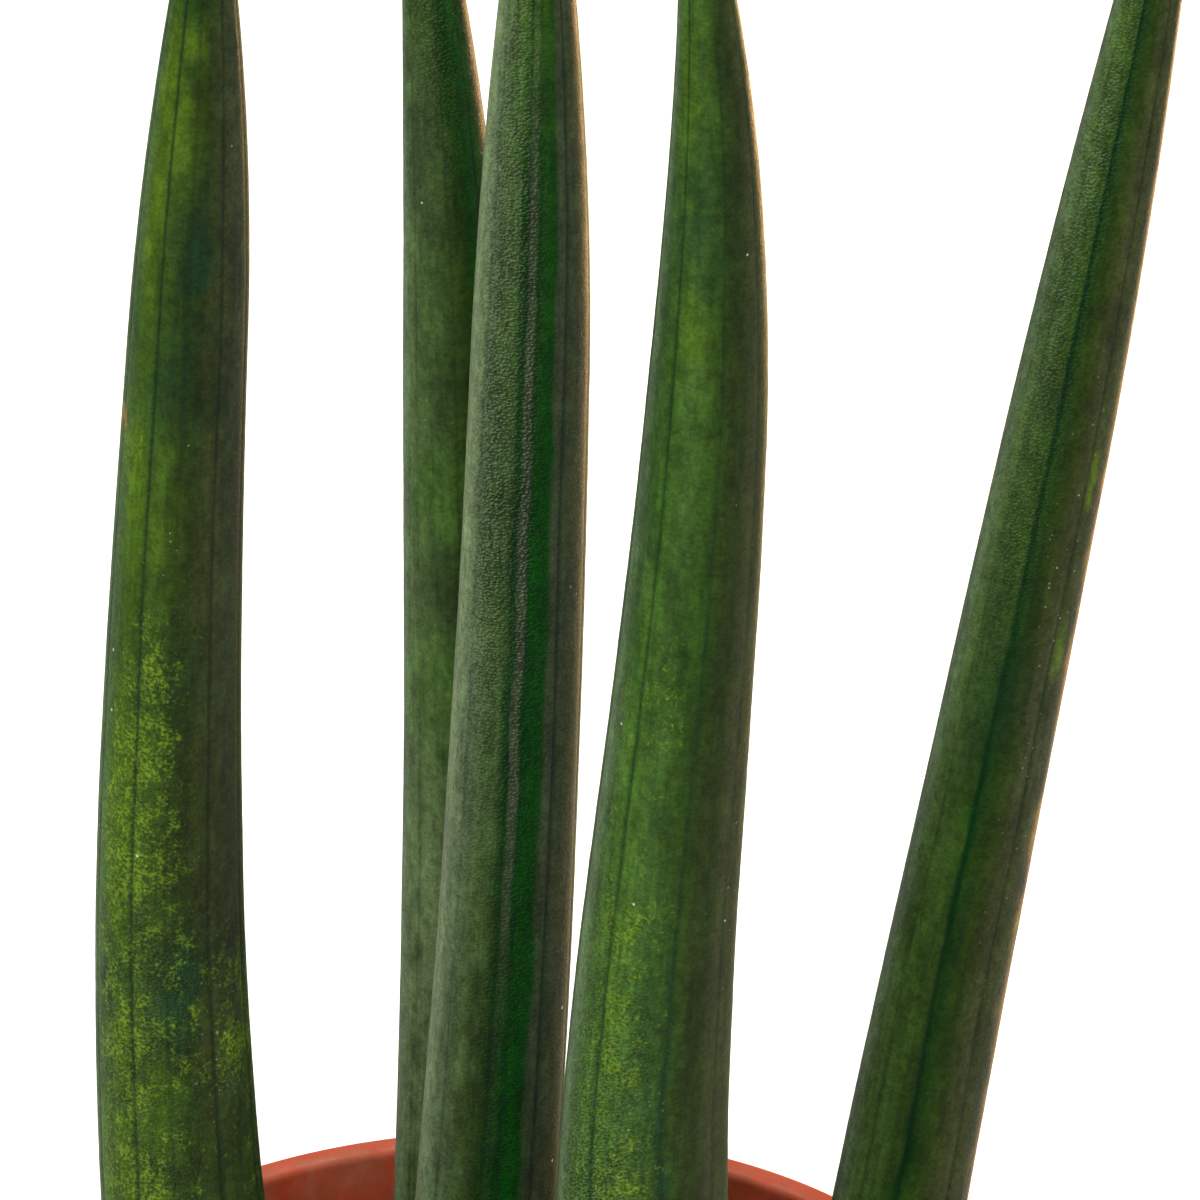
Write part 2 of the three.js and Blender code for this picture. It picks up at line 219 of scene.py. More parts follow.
def mesh_object(
    name: str, points: np.ndarray, faces: list[tuple[int, ...]]
) -> bpy.types.Object:
    """A mesh object at the origin, shaded smooth.

    Args:
        name: the piece's name.
        points: one row for each vertex, in metres.
        faces: vertex numbers, counter-clockwise seen from outside.

    Returns:
        The new object, linked to the scene.
    """
    mesh = bpy.data.meshes.new(name)
    mesh.from_pydata(points.tolist(), [], faces)
    mesh.update()
    mesh.polygons.foreach_set("use_smooth", np.ones(len(mesh.polygons), dtype=bool))
    piece = bpy.data.objects.new(name, mesh)
    bpy.context.collection.objects.link(piece)
    return piece


def paint(piece: bpy.types.Object, mark: str, values: np.ndarray) -> None:
    """Stores one value, or one vector, at each vertex of a piece.

    Args:
        piece: the mesh object.
        mark: the attribute's name.
        values: one number or one row of three for each vertex.
    """
    vector = values.ndim == 2
    kind = "FLOAT_VECTOR" if vector else "FLOAT"
    layer = piece.data.attributes.new(mark, kind, "POINT")
    layer.data.foreach_set("vector" if vector else "value", values.astype(np.float32).ravel())


def node_points(node: str) -> np.ndarray:
    """The separate vertices of a CAD node.

    Args:
        node: the node's name.

    Returns:
        One row for each vertex, in metres.
    """
    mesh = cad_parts[node].data
    flat = np.empty(len(mesh.vertices) * 3, dtype=np.float32)
    mesh.vertices.foreach_get("co", flat)
    return np.unique(flat.reshape(-1, 3).round(6), axis=0).astype(float)


def stand_in(piece: bpy.types.Object, slot: str, *nodes: str) -> bpy.types.Object:
    """Puts a finished piece in the place of CAD nodes, on the plant's one body.

    Args:
        piece: the finished piece.
        slot: the name of a material slot; not used.
        nodes: the CAD nodes that it stands for, if any.

    Returns:
        The piece.
    """
    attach(piece, "root")
    if nodes:
        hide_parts(*nodes)
    LOG.info("%s: %d faces", piece.name, len(piece.data.polygons))
    return piece


# ---- Shader wiring ------------------------------------------------------------------------------

Socket = bpy.types.NodeSocket
Colour = tuple[float, float, float]


def linear(red: int, green: int, blue: int) -> Colour:
    """A screen colour as linear light.

    Args:
        red, green, blue: the channels, from 0 to 255.

    Returns:
        The same colour, each channel from 0 to 1.
    """
    share = np.array((red, green, blue)) / 255.0
    light = np.where(share <= 0.04045, share / 12.92, ((share + 0.055) / 1.055) ** 2.4)
    return tuple(float(channel) for channel in light)


class Wiring:
    """Adds nodes to one tree and joins them, each call giving the socket that it ends in."""

    def __init__(self, tree: bpy.types.NodeTree) -> None:
        """Starts on a tree.

        Args:
            tree: a material's or a group's node tree.
        """
        self.tree = tree

    def add(self, kind: str, **settings: object) -> bpy.types.Node:
        """A new node with its own settings.

        Args:
            kind: the node's type.
            settings: what to set on it.

        Returns:
            The node.
        """
        node = self.tree.nodes.new(kind)
        for name, setting in settings.items():
            setattr(node, name, setting)
        return node

    def feed(self, target: Socket, source: object) -> None:
        """Joins a socket to another, or sets its value.

        Args:
            target: the input.
            source: an output socket, or a number, vector or colour.
        """
        if isinstance(source, Socket):
            self.tree.links.new(source, target)
        elif target.type == "RGBA":
            target.default_value = (*source, 1.0)
        else:
            target.default_value = source

    def mark(self, name: str, vector: bool = False) -> Socket:
        """A value or vector stored at the vertices."""
        node = self.add("ShaderNodeAttribute", attribute_name=name)
        return node.outputs["Vector" if vector else "Fac"]

    def place(self) -> Socket:
        """Object coordinates, in metres."""
        return self.add("ShaderNodeTexCoord").outputs["Object"]

    def stretch(self, vector: Socket, factors: tuple[float, float, float]) -> Socket:
        """A vector with each axis multiplied by its own factor.

        Args:
            vector: the vector.
            factors: one for each axis.

        Returns:
            The product.
        """
        node = self.add("ShaderNodeVectorMath", operation="MULTIPLY")
        self.feed(node.inputs[0], vector)
        self.feed(node.inputs[1], factors)
        return node.outputs[0]

    def math(self, operation: str, a: object, b: object = 0.0, clamp: bool = False) -> Socket:
        """Arithmetic on two values.

        Args:
            operation: which.
            a, b: the values or sockets.
            clamp: whether the result stays between 0 and 1.

        Returns:
            The result.
        """
        node = self.add("ShaderNodeMath", operation=operation, use_clamp=clamp)
        self.feed(node.inputs[0], a)
        self.feed(node.inputs[1], b)
        return node.outputs[0]

    def noise(
        self, vector: Socket, size: float, detail: float = 2.0, roughness: float = 0.5
    ) -> Socket:
        """Cloudy noise.

        Args:
            vector: where to read it.
            size: how large its largest lumps are, in metres.
            detail: how many finer layers it has.
            roughness: how strong they are.

        Returns:
            A value about 0.5.
        """
        node = self.add("ShaderNodeTexNoise")
        self.feed(node.inputs["Vector"], vector)
        self.feed(node.inputs["Scale"], 1.0 / size)
        self.feed(node.inputs["Detail"], detail)
        self.feed(node.inputs["Roughness"], roughness)
        return node.outputs["Fac"]

    def cells(self, vector: Socket, size: float) -> bpy.types.Node:
        """Scattered cells.

        Args:
            vector: where to read them.
            size: how large they are, in metres.

        Returns:
            The node, whose Distance is in cells and whose Color is random for each.
        """
        node = self.add("ShaderNodeTexVoronoi")
        self.feed(node.inputs["Vector"], vector)
        self.feed(node.inputs["Scale"], 1.0 / size)
        return node

    def between(
        self, value: Socket, low: float, high: float, start: float = 0.0, end: float = 1.0
    ) -> Socket:
        """Eases from start to end as value goes from low to high.

        Args:
            value: the value.
            low, high: where the easing starts and ends.
            start, end: the results there.

        Returns:
            The eased value.
        """
        node = self.add("ShaderNodeMapRange", interpolation_type="SMOOTHSTEP")
        for name, number in zip(
            ("Value", "From Min", "From Max", "To Min", "To Max"),
            (value, low, high, start, end),
        ):
            self.feed(node.inputs[name], number)
        return node.outputs["Result"]

    def blend(self, share: object, a: object, b: object) -> Socket:
        """Colour a, going over to colour b by share.

        Args:
            share: from 0 to 1.
            a, b: the colours.

        Returns:
            The blend.
        """
        node = self.add("ShaderNodeMix", data_type="RGBA")
        self.feed(node.inputs["Factor"], share)
        self.feed(node.inputs[6], a)
        self.feed(node.inputs[7], b)
        return node.outputs[2]

    def brighten(self, colour: Socket, factor: Socket) -> Socket:
        """A colour times a value.

        Args:
            colour: the colour.
            factor: the value.

        Returns:
            The product.
        """
        node = self.add("ShaderNodeVectorMath", operation="SCALE")
        self.feed(node.inputs[0], colour)
        self.feed(node.inputs["Scale"], factor)
        return node.outputs[0]

    def bump(self, height: Socket, depth: float, under: Socket | None = None) -> Socket:
        """A normal tilted by a height.

        Args:
            height: from 0 to 1.
            depth: how many metres a height of 1 stands.
            under: another normal that it lies over.

        Returns:
            The normal.
        """
        node = self.add("ShaderNodeBump")
        self.feed(node.inputs["Height"], height)
        self.feed(node.inputs["Distance"], depth)
        if under is not None:
            self.feed(node.inputs["Normal"], under)
        return node.outputs["Normal"]

    def use(self, group: bpy.types.NodeTree, **inputs: object) -> bpy.types.Node:
        """Puts a shared effect in with its own values.

        Args:
            group: the effect.
            inputs: its values by name.

        Returns:
            The group's node.
        """
        node = self.add("ShaderNodeGroup", node_tree=group)
        for name, source in inputs.items():
            self.feed(node.inputs[name], source)
        return node


class Effect(Enum):
    """The effects that several finishes share."""

    PEBBLES = "Pebbled Skin With Painted Glints"
    MOTTLE = "Mottled Grain"
    STREAKS = "Long Streaks"
    SPECKS = "Dust Specks"
    FILM = "Dust Film"


class Effects:
    """Builds each shared effect once, as a shader node group, and hands it out."""

    def __init__(self) -> None:
        """Builds every group."""
        self.groups = {
            Effect.PEBBLES: self.pebbles_and_glints(),
            Effect.MOTTLE: self.mottle(),
            Effect.STREAKS: self.streaks(),
            Effect.SPECKS: self.specks(),
            Effect.FILM: self.film(),
        }

    def __getitem__(self, effect: Effect) -> bpy.types.NodeTree:
        """The group of one effect."""
        return self.groups[effect]

    @staticmethod
    def start(
        effect: Effect, numbers: dict[str, float], outputs: tuple[str, ...]
    ) -> tuple[Wiring, dict[str, Socket], dict[str, Socket]]:
        """A new group that takes a Place and numbers and gives values.

        Args:
            effect: which effect it is.
            numbers: each number input's name and usual value.
            outputs: the names of the values that it gives.

        Returns:
            Its wiring, its inputs and its outputs.
        """
        tree = bpy.data.node_groups.new(effect.value, "ShaderNodeTree")
        tree.interface.new_socket("Place", in_out="INPUT", socket_type="NodeSocketVector")
        for name, usual in numbers.items():
            socket = tree.interface.new_socket(name, in_out="INPUT", socket_type="NodeSocketFloat")
            socket.default_value = usual
        for name in outputs:
            tree.interface.new_socket(name, in_out="OUTPUT", socket_type="NodeSocketFloat")
        wiring = Wiring(tree)
        entry = wiring.add("NodeGroupInput")
        leave = wiring.add("NodeGroupOutput")
        return wiring, dict(entry.outputs.items()), dict(leave.inputs.items())

    @staticmethod
    def scaled(wiring: Wiring, vector: Socket, size: Socket) -> Socket:
        """A place measured in units of size.

        Args:
            wiring: the group's wiring.
            vector: the place.
            size: the unit, in metres.

        Returns:
            The scaled place.
        """
        node = wiring.add("ShaderNodeVectorMath", operation="SCALE")
        wiring.feed(node.inputs[0], vector)
        wiring.feed(node.inputs["Scale"], wiring.math("DIVIDE", 1.0, size))
        return node.outputs[0]

    def pebbles_and_glints(self) -> bpy.types.NodeTree:
        """Low domes crowded together, a little wider round the leaf than along it.

        Formula: each dome falls off from its middle, and a cloud makes some lower. The second output
        is how much higher the point is than one a little further up and to the left. That is the
        side of a dome that faces a light from the upper left, where a painted highlight goes. The
        third output is the opposite, the far side, where painted shade goes.

        Returns:
            The group.
        """
        wiring, takes, gives = self.start(
            Effect.PEBBLES, {"Size": 0.5 * MM, "Unevenness": 0.5}, ("Height", "Painted Glint", "Painted Shade")
        )
        place = wiring.stretch(takes["Place"], (1.0, 1.0, 1.5))
        place = self.scaled(wiring, place, takes["Size"])
        cloud = wiring.noise(place, 2.6, 3.0, 0.6)
        uneven = wiring.math("MULTIPLY", wiring.between(cloud, 0.3, 0.7), takes["Unevenness"])
        scale = wiring.math("SUBTRACT", 1.0, uneven)
        heights = []
        for shift in ((0.0, 0.0, 0.0), (-0.28, 0.0, 0.3)):
            moved = wiring.add("ShaderNodeVectorMath", operation="ADD")
            wiring.feed(moved.inputs[0], place)
            moved.inputs[1].default_value = shift
            distance = wiring.cells(moved.outputs[0], 1.0).outputs["Distance"]
            rise = wiring.between(distance, 0.05, 0.75, 1.0, 0.0)
            heights.append(wiring.math("MULTIPLY", rise, scale))
        # The side of each dome towards the upper-left light becomes a painted highlight, and the far
        # side painted shade.
        slope = wiring.math("SUBTRACT", heights[0], heights[1])
        wiring.feed(gives["Height"], heights[0])
        wiring.feed(gives["Painted Glint"], wiring.between(slope, 0.02, 0.42))
        wiring.feed(gives["Painted Shade"], wiring.between(slope, -0.02, -0.42))
        return wiring.tree

    def mottle(self) -> bpy.types.NodeTree:
        """Ragged patches of fine grains that gather in bands across the leaf.

        Formula: three sizes of noise and Amount are summed, and the sum's top eases in.

        Returns:
            The group.
        """
        wiring, takes, gives = self.start(
            Effect.MOTTLE, {"Amount": 0.5, "Size": 0.4 * MM}, ("Grain",)
        )
        place = takes["Place"]
        scaled = self.scaled(wiring, place, takes["Size"])
        grain = wiring.noise(scaled, 1.0, 2.0, 0.7)
        blotch = wiring.noise(wiring.stretch(scaled, (1.0, 1.0, 0.6)), 5.0, 3.0, 0.65)
        band = wiring.noise(wiring.stretch(place, (0.6, 0.6, 1.2)), 9.0 * MM, 3.0, 0.62)
        total = wiring.math("MULTIPLY", grain, 0.8)
        total = wiring.math("ADD", total, wiring.math("MULTIPLY", blotch, 0.9))
        total = wiring.math("ADD", total, wiring.math("MULTIPLY", band, 0.8))
        total = wiring.math("ADD", total, wiring.math("MULTIPLY", takes["Amount"], 0.62))
        wiring.feed(gives["Grain"], wiring.between(total, 1.54, 1.84, 0.0, 0.82))
        return wiring.tree

    def streaks(self) -> bpy.types.NodeTree:
        """Fine lines along the leaf, broken here and there.

        Returns:
            The group.
        """
        wiring, takes, gives = self.start(Effect.STREAKS, {"Size": 0.6 * MM}, ("Streak",))
        place = wiring.stretch(takes["Place"], (1.0, 1.0, 0.035))
        line = wiring.noise(self.scaled(wiring, place, takes["Size"]), 1.0, 3.0, 0.6)
        broken = wiring.noise(takes["Place"], 9.0 * MM, 2.0)
        streak = wiring.math("MULTIPLY", wiring.between(line, 0.38, 0.68), broken)
        wiring.feed(gives["Streak"], wiring.between(streak, 0.05, 0.5))
        return wiring.tree

    def specks(self) -> bpy.types.NodeTree:
        """A few tiny pale grains, one in some of the cells.

        Returns:
            The group.
        """
        wiring, takes, gives = self.start(
            Effect.SPECKS, {"Size": 3.0 * MM, "Amount": 0.4, "Radius": 0.07}, ("Speck",)
        )
        place = self.scaled(wiring, takes["Place"], takes["Size"])
        cell = wiring.cells(place, 1.0)
        chosen = wiring.add("ShaderNodeSeparateColor")
        wiring.feed(chosen.inputs[0], cell.outputs["Color"])
        small = wiring.math("MULTIPLY", chosen.outputs[1], takes["Radius"])
        edge = wiring.math("SUBTRACT", small, cell.outputs["Distance"])
        inside = wiring.between(edge, -0.01, 0.025)
        some = wiring.math("LESS_THAN", chosen.outputs[0], takes["Amount"])
        wiring.feed(gives["Speck"], wiring.math("MULTIPLY", inside, some))
        return wiring.tree

    def film(self) -> bpy.types.NodeTree:
        """A thin, patchy film of dust, thicker in clouds.

        Returns:
            The group.
        """
        wiring, takes, gives = self.start(
            Effect.FILM, {"Size": 8.0 * MM, "Amount": 0.5}, ("Film",)
        )
        place = self.scaled(wiring, takes["Place"], takes["Size"])
        cloud = wiring.noise(place, 1.0, 5.0, 0.65)
        powder = wiring.noise(place, 0.06, 3.0, 0.7)
        both = wiring.math("MULTIPLY", wiring.between(cloud, 0.35, 0.75), powder)
        wiring.feed(gives["Film"], wiring.math("MULTIPLY", both, takes["Amount"], clamp=True))
        return wiring.tree


class Coat(Wiring):
    """A new material with one Principled shader, and the wiring of its nodes."""

    def __init__(self, name: str, specular: float) -> None:
        """Starts the material.

        Args:
            name: the material's name.
            specular: how strongly the surface mirrors straight on, 0.5 being usual.
        """
        self.material = bpy.data.materials.new(name)
        self.material.use_nodes = True
        super().__init__(self.material.node_tree)
        self.shader = self.tree.nodes["Principled BSDF"]
        self.shader.inputs["Specular IOR Level"].default_value = specular

    def finish(
        self, colour: object, rough: object, normal: Socket | None = None
    ) -> bpy.types.Material:
        """Feeds the shader.

        Args:
            colour: the base colour.
            rough: the roughness.
            normal: the tilted normal, if any.

        Returns:
            The material.
        """
        self.feed(self.shader.inputs["Base Color"], colour)
        self.feed(self.shader.inputs["Roughness"], rough)
        if normal is not None:
            self.feed(self.shader.inputs["Normal"], normal)
        return self.material


def dress(piece: bpy.types.Object, material: bpy.types.Material) -> None:
    """Gives a piece one material in place of any that it has."""
    piece.data.materials.clear()
    piece.data.materials.append(material)


# ---- Leaves -------------------------------------------------------------------------------------


class Tone(Enum):
    """The undertones of the leaves' skin, as screen colours.

    The pale grey-greens that the rings give each leaf's left side are painted highlight. The grey
    olives towards its right side are partly the leaf's own colour and partly painted sheen. The tan
    stripe along the right leaf's right edge is a painted warm rim light.
    """

    SAGE = (116, 134, 92)
    SILVER = (86, 106, 72)
    FERN = (76, 98, 52)
    MOSS = (62, 86, 42)
    SPRING = (68, 104, 32)
    FRESH = (58, 84, 12)
    IVY = (60, 88, 35)
    LEAF = (46, 70, 20)
    OLIVE = (38, 54, 12)
    BRONZE = (36, 48, 16)
    SLATE = (47, 55, 36)
    DUSK = (50, 56, 27)
    UMBER = (58, 64, 46)
    PINE = (26, 54, 12)
    DEEP = (2, 50, 3)
    TEAL = (18, 46, 26)
    LIME = (88, 116, 18)
    TAN = (150, 118, 62)

    def light(self) -> np.ndarray:
        """The tone as linear light."""
        return np.array(linear(*self.value))


@dataclass(frozen=True)
class Spot:
    """A soft patch or stripe on a leaf.

    angle is in degrees round the leaf from its front, to the right, and height in millimetres
    above the ground. The spot fades over width degrees and length millimetres.
    """

    angle: float
    width: float
    height: float = 180.0
    length: float = 400.0
    strength: float = 1.0

    def over(self, angle: np.ndarray, height: np.ndarray) -> np.ndarray:
        """How strong the spot is at each point.

        Formula: strength times a bell curve of the angle away, times one of the height away.

        Args:
            angle: degrees from the front.
            height: millimetres above the ground.

        Returns:
            A share from 0 to strength.
        """
        aside = (angle - self.angle + 180.0) % 360.0 - 180.0
        away = (aside / self.width) ** 2 + ((height - self.height) / self.length) ** 2
        return self.strength * np.exp(-away)


def together(spots: tuple[Spot, ...], angle: np.ndarray, height: np.ndarray) -> np.ndarray:
    """Spots laid over each other, never over 1 in all.

    Args:
        spots: the spots.
        angle: degrees from the front.
        height: millimetres above the ground.

    Returns:
        How strong they are together at each point.
    """
    rest = np.ones_like(angle)
    for spot in spots:
        rest = rest * (1.0 - np.clip(spot.over(angle, height), 0.0, 1.0))
    return 1.0 - rest


@dataclass(frozen=True)
class Spine:
    """The axis of an upright round CAD rod, from its foot to its tip."""

    stations: np.ndarray
    centres: np.ndarray
    girths: np.ndarray

    @classmethod
    def of_node(cls, node: str, gap: float = 2.0 * MM) -> "Spine":
        """Finds the rings of a CAD rod by height, and so its axis.

        Formula: the vertices are sorted by height and parted wherever two are more than gap
        apart. A ring's centre is the middle of its box, and its girth is the largest distance
        from there.

        Args:
            node: the CAD node.
            gap: least difference in height between two rings, in metres.

        Returns:
            The spine.
        """
        points = node_points(node)
        points = points[points[:, 2].argsort()]
        rings = np.split(points, np.flatnonzero(np.diff(points[:, 2]) > gap) + 1)
        centres = np.array([(ring.min(axis=0) + ring.max(axis=0)) / 2.0 for ring in rings])
        girths = np.array(
            [np.linalg.norm(ring - c, axis=1).max() for ring, c in zip(rings, centres)]
        )
        steps = np.linalg.norm(np.diff(centres, axis=0), axis=1)
        return cls(np.concatenate(((0.0,), steps.cumsum())), centres, girths)

    def at(self, stations: np.ndarray) -> tuple[np.ndarray, np.ndarray, np.ndarray, np.ndarray]:
        """Reads the spine.

        Args:
            stations: distances along the axis from the foot, in metres.

        Returns:
            The centres, the girths, and two directions across the axis: the first nearest +X,
            the second a quarter turn on, counter-clockwise from above.
        """
        centre = eased(stations, self.stations, self.centres)
        girth = eased(stations, self.stations, self.girths)
        tangent = np.gradient(centre, stations, axis=0)
        tangent /= np.linalg.norm(tangent, axis=1, keepdims=True)
        over = np.cross(tangent, (1.0, 0.0, 0.0))
        over /= np.linalg.norm(over, axis=1, keepdims=True)
        return centre, girth, np.cross(over, tangent), over


@dataclass(frozen=True)
class Leaf:
    """One round leaf, with the grooves and markings of its own.

    Each groove is an angle in degrees from the leaf's front, to the right, and a depth as a share
    of the deepest. ring gives undertones by angle, and patches lays others over them. The pale
    tones at the left side are painted highlight, and the grey ones at the right are partly painted
    sheen. grain is where yellow-green grains gather. The dome spots are where the skin's domes
    stand out and take painted highlight and painted shade, and dusty is where pale marks have dried
    on it. valley, crease, swelling and rippling are depths as shares of the girth, wander is in
    degrees, and crowding above 1 crowds the rows towards the tip.
    """

    name: str
    grooves: tuple[tuple[float, float], ...]
    ring: tuple[tuple[float, Tone], ...]
    patches: tuple[tuple[Tone, Spot], ...]
    grain: tuple[Spot, ...]
    pebbles_and_glints: tuple[Spot, ...]
    dusty: tuple[Spot, ...]
    seed: int
    valley: float = 0.016
    crease: float = 0.02
    swelling: float = 0.012
    rippling: float = 0.0035
    wander: float = 1.6
    crowding: float = 1.12
    tip_start: float = 7.0 * MM
    tip_end: float = 1.0 * MM
    rows: int = 290
    columns: int = 256

    def sides(self) -> np.ndarray:
        """Degrees from the front of each column of points."""
        return np.linspace(-180.0, 180.0, self.columns, endpoint=False)

    def groove_depth(self, angle: np.ndarray, wander: np.ndarray) -> tuple[np.ndarray, np.ndarray]:
        """The broad valleys and the sharp creases of the grooves.

        Formula: for each groove, a bell curve 7 degrees wide for its valley and one 2 degrees
        wide for its crease, about an angle that wanders a little along the leaf.

        Args:
            angle: degrees from the front.
            wander: degrees that every groove is off its place, at each point.

        Returns:
            The valleys and the creases, each from 0 to 1.
        """
        valley = np.zeros_like(wander)
        crease = np.zeros_like(wander)
        for place, depth in self.grooves:
            aside = (angle + wander - place + 180.0) % 360.0 - 180.0
            valley = np.maximum(valley, depth * np.exp(-((aside / 7.0) ** 2)))
            crease = np.maximum(crease, depth * np.exp(-((aside / 2.0) ** 2)))
        return valley, crease

    def undertone(self, angle: np.ndarray, height: np.ndarray, place: np.ndarray) -> np.ndarray:
        """The colour of the skin before its grain.

        Formula: the ring's tones, eased linearly by angle, read at angles that are off by a few
        degrees in a random field; over them each patch in turn, its share moved up or down by
        another random field so that its edge is ragged; and the whole made lighter and darker by
        the exponential of two random fields.

        Args:
            angle: degrees from the front.
            height: millimetres above the ground.
            place: the straightened place of each point.

        Returns:
            Linear colours, one for each point.
        """
        off = Ripples(5.0 * MM, self.seed + 5, 30, 2.2).at(place * (1.0, 1.0, 0.5))
        ragged = Ripples(4.0 * MM, self.seed + 6, 36, 2.6).at(place * (1.0, 1.0, 0.7))
        ordered = sorted(self.ring, key=lambda step: step[0])
        turn = np.array([step[0] for step in ordered])
        tones = np.array([step[1].light() for step in ordered])
        read = angle + self.wander * off
        colour = np.stack(
            [np.interp(read, turn, tones[:, channel], period=360.0) for channel in range(3)], axis=-1
        )
        for tone, spot in self.patches:
            share = spot.over(angle + 4.0 * off, height + 2.0 * off)
            share = share * smoothstep(-0.9, 0.5, ragged + 1.1 * share)
            colour = colour + share[..., None] * (tone.light() - colour)
        broad = Ripples(7.0 * MM, self.seed + 7, 36, 2.4).at(place * (1.0, 1.0, 0.6))
        return colour * np.exp(0.12 * broad + 0.08 * ragged)[..., None]

    def sheet(self) -> Sheet:
        """The leaf's skin, carried along the spine of its CAD node.

        Formula: at distance s along the spine and angle a round it, the point is the centre plus
        (cos a, sin a) in the two directions across, times the girth less the grooves, less broad
        swellings and less fine ripples that run across.

        Returns:
            The skin with its markings, and the straightened place of each point: where it would
            be if the leaf stood straight up from the ground.
        """
        spine = Spine.of_node(self.name)
        share = np.linspace(0.0, 1.0, self.rows)
        stations = (spine.stations[-1] - PINHOLE) * (1.0 - (1.0 - share) ** self.crowding)
        centre, girth, along, over = spine.at(stations)
        angle, _ = np.meshgrid(self.sides(), stations)
        turn = np.radians(angle - 90.0)
        flat = np.stack((np.cos(turn), np.sin(turn)), axis=-1)
        length = np.broadcast_to(stations[:, None, None], turn.shape + (1,))
        place = np.concatenate((flat * girth[:, None, None], length), axis=-1)
        # Each leaf reads its own stretch of the random fields.
        place = place + np.array((0.0, 0.0, self.seed * 0.37))
        wander = self.wander * Ripples(55.0 * MM, self.seed).at(place * (0.0, 0.0, 1.0))
        valley, crease = self.groove_depth(angle, wander)
        swell = 0.5 + 0.5 * Ripples(34.0 * MM, self.seed + 1).at(place)
        ripple = 0.5 + 0.5 * Ripples(3.6 * MM, self.seed + 2).at(place * (0.35, 0.35, 1.0))
        # The grooves die away where the leaf is thin.
        faint = smoothstep(0.3 * MM, 3.0 * MM, girth)[:, None]
        cut = self.valley * valley + self.crease * crease
        cut = cut + self.swelling * swell + self.rippling * ripple
        reach = girth[:, None] * (1.0 - faint * cut)
        across = flat[..., :1] * along[:, None] + flat[..., 1:] * over[:, None]
        points = centre[:, None] + reach[..., None] * across
        height = points[..., 2] / MM
        end = stations[-1]
        tip = smoothstep(end - self.tip_start, end - self.tip_end, stations)
        sheet = Sheet(points)
        sheet.marks = {
            "straight": place,
            "undertone": self.undertone(angle, height, place),
            "grain": together(self.grain, angle, height),
            "pebbled_and_glinting": together(self.pebbles_and_glints, angle, height),
            "dusty": together(self.dusty, angle, height),
            "crease": crease,
            "tip": np.broadcast_to(tip[:, None], turn.shape),
            "height": height,
        }
        return sheet

    def build(self, finish: bpy.types.Material) -> bpy.types.Object:
        """Makes the leaf, in the place of its CAD node.

        Args:
            finish: the material.

        Returns:
            The finished leaf.
        """
        piece = self.sheet().build(f"{self.name}_skin")
        dress(piece, finish)
        return stand_in(piece, "leaf", self.name)


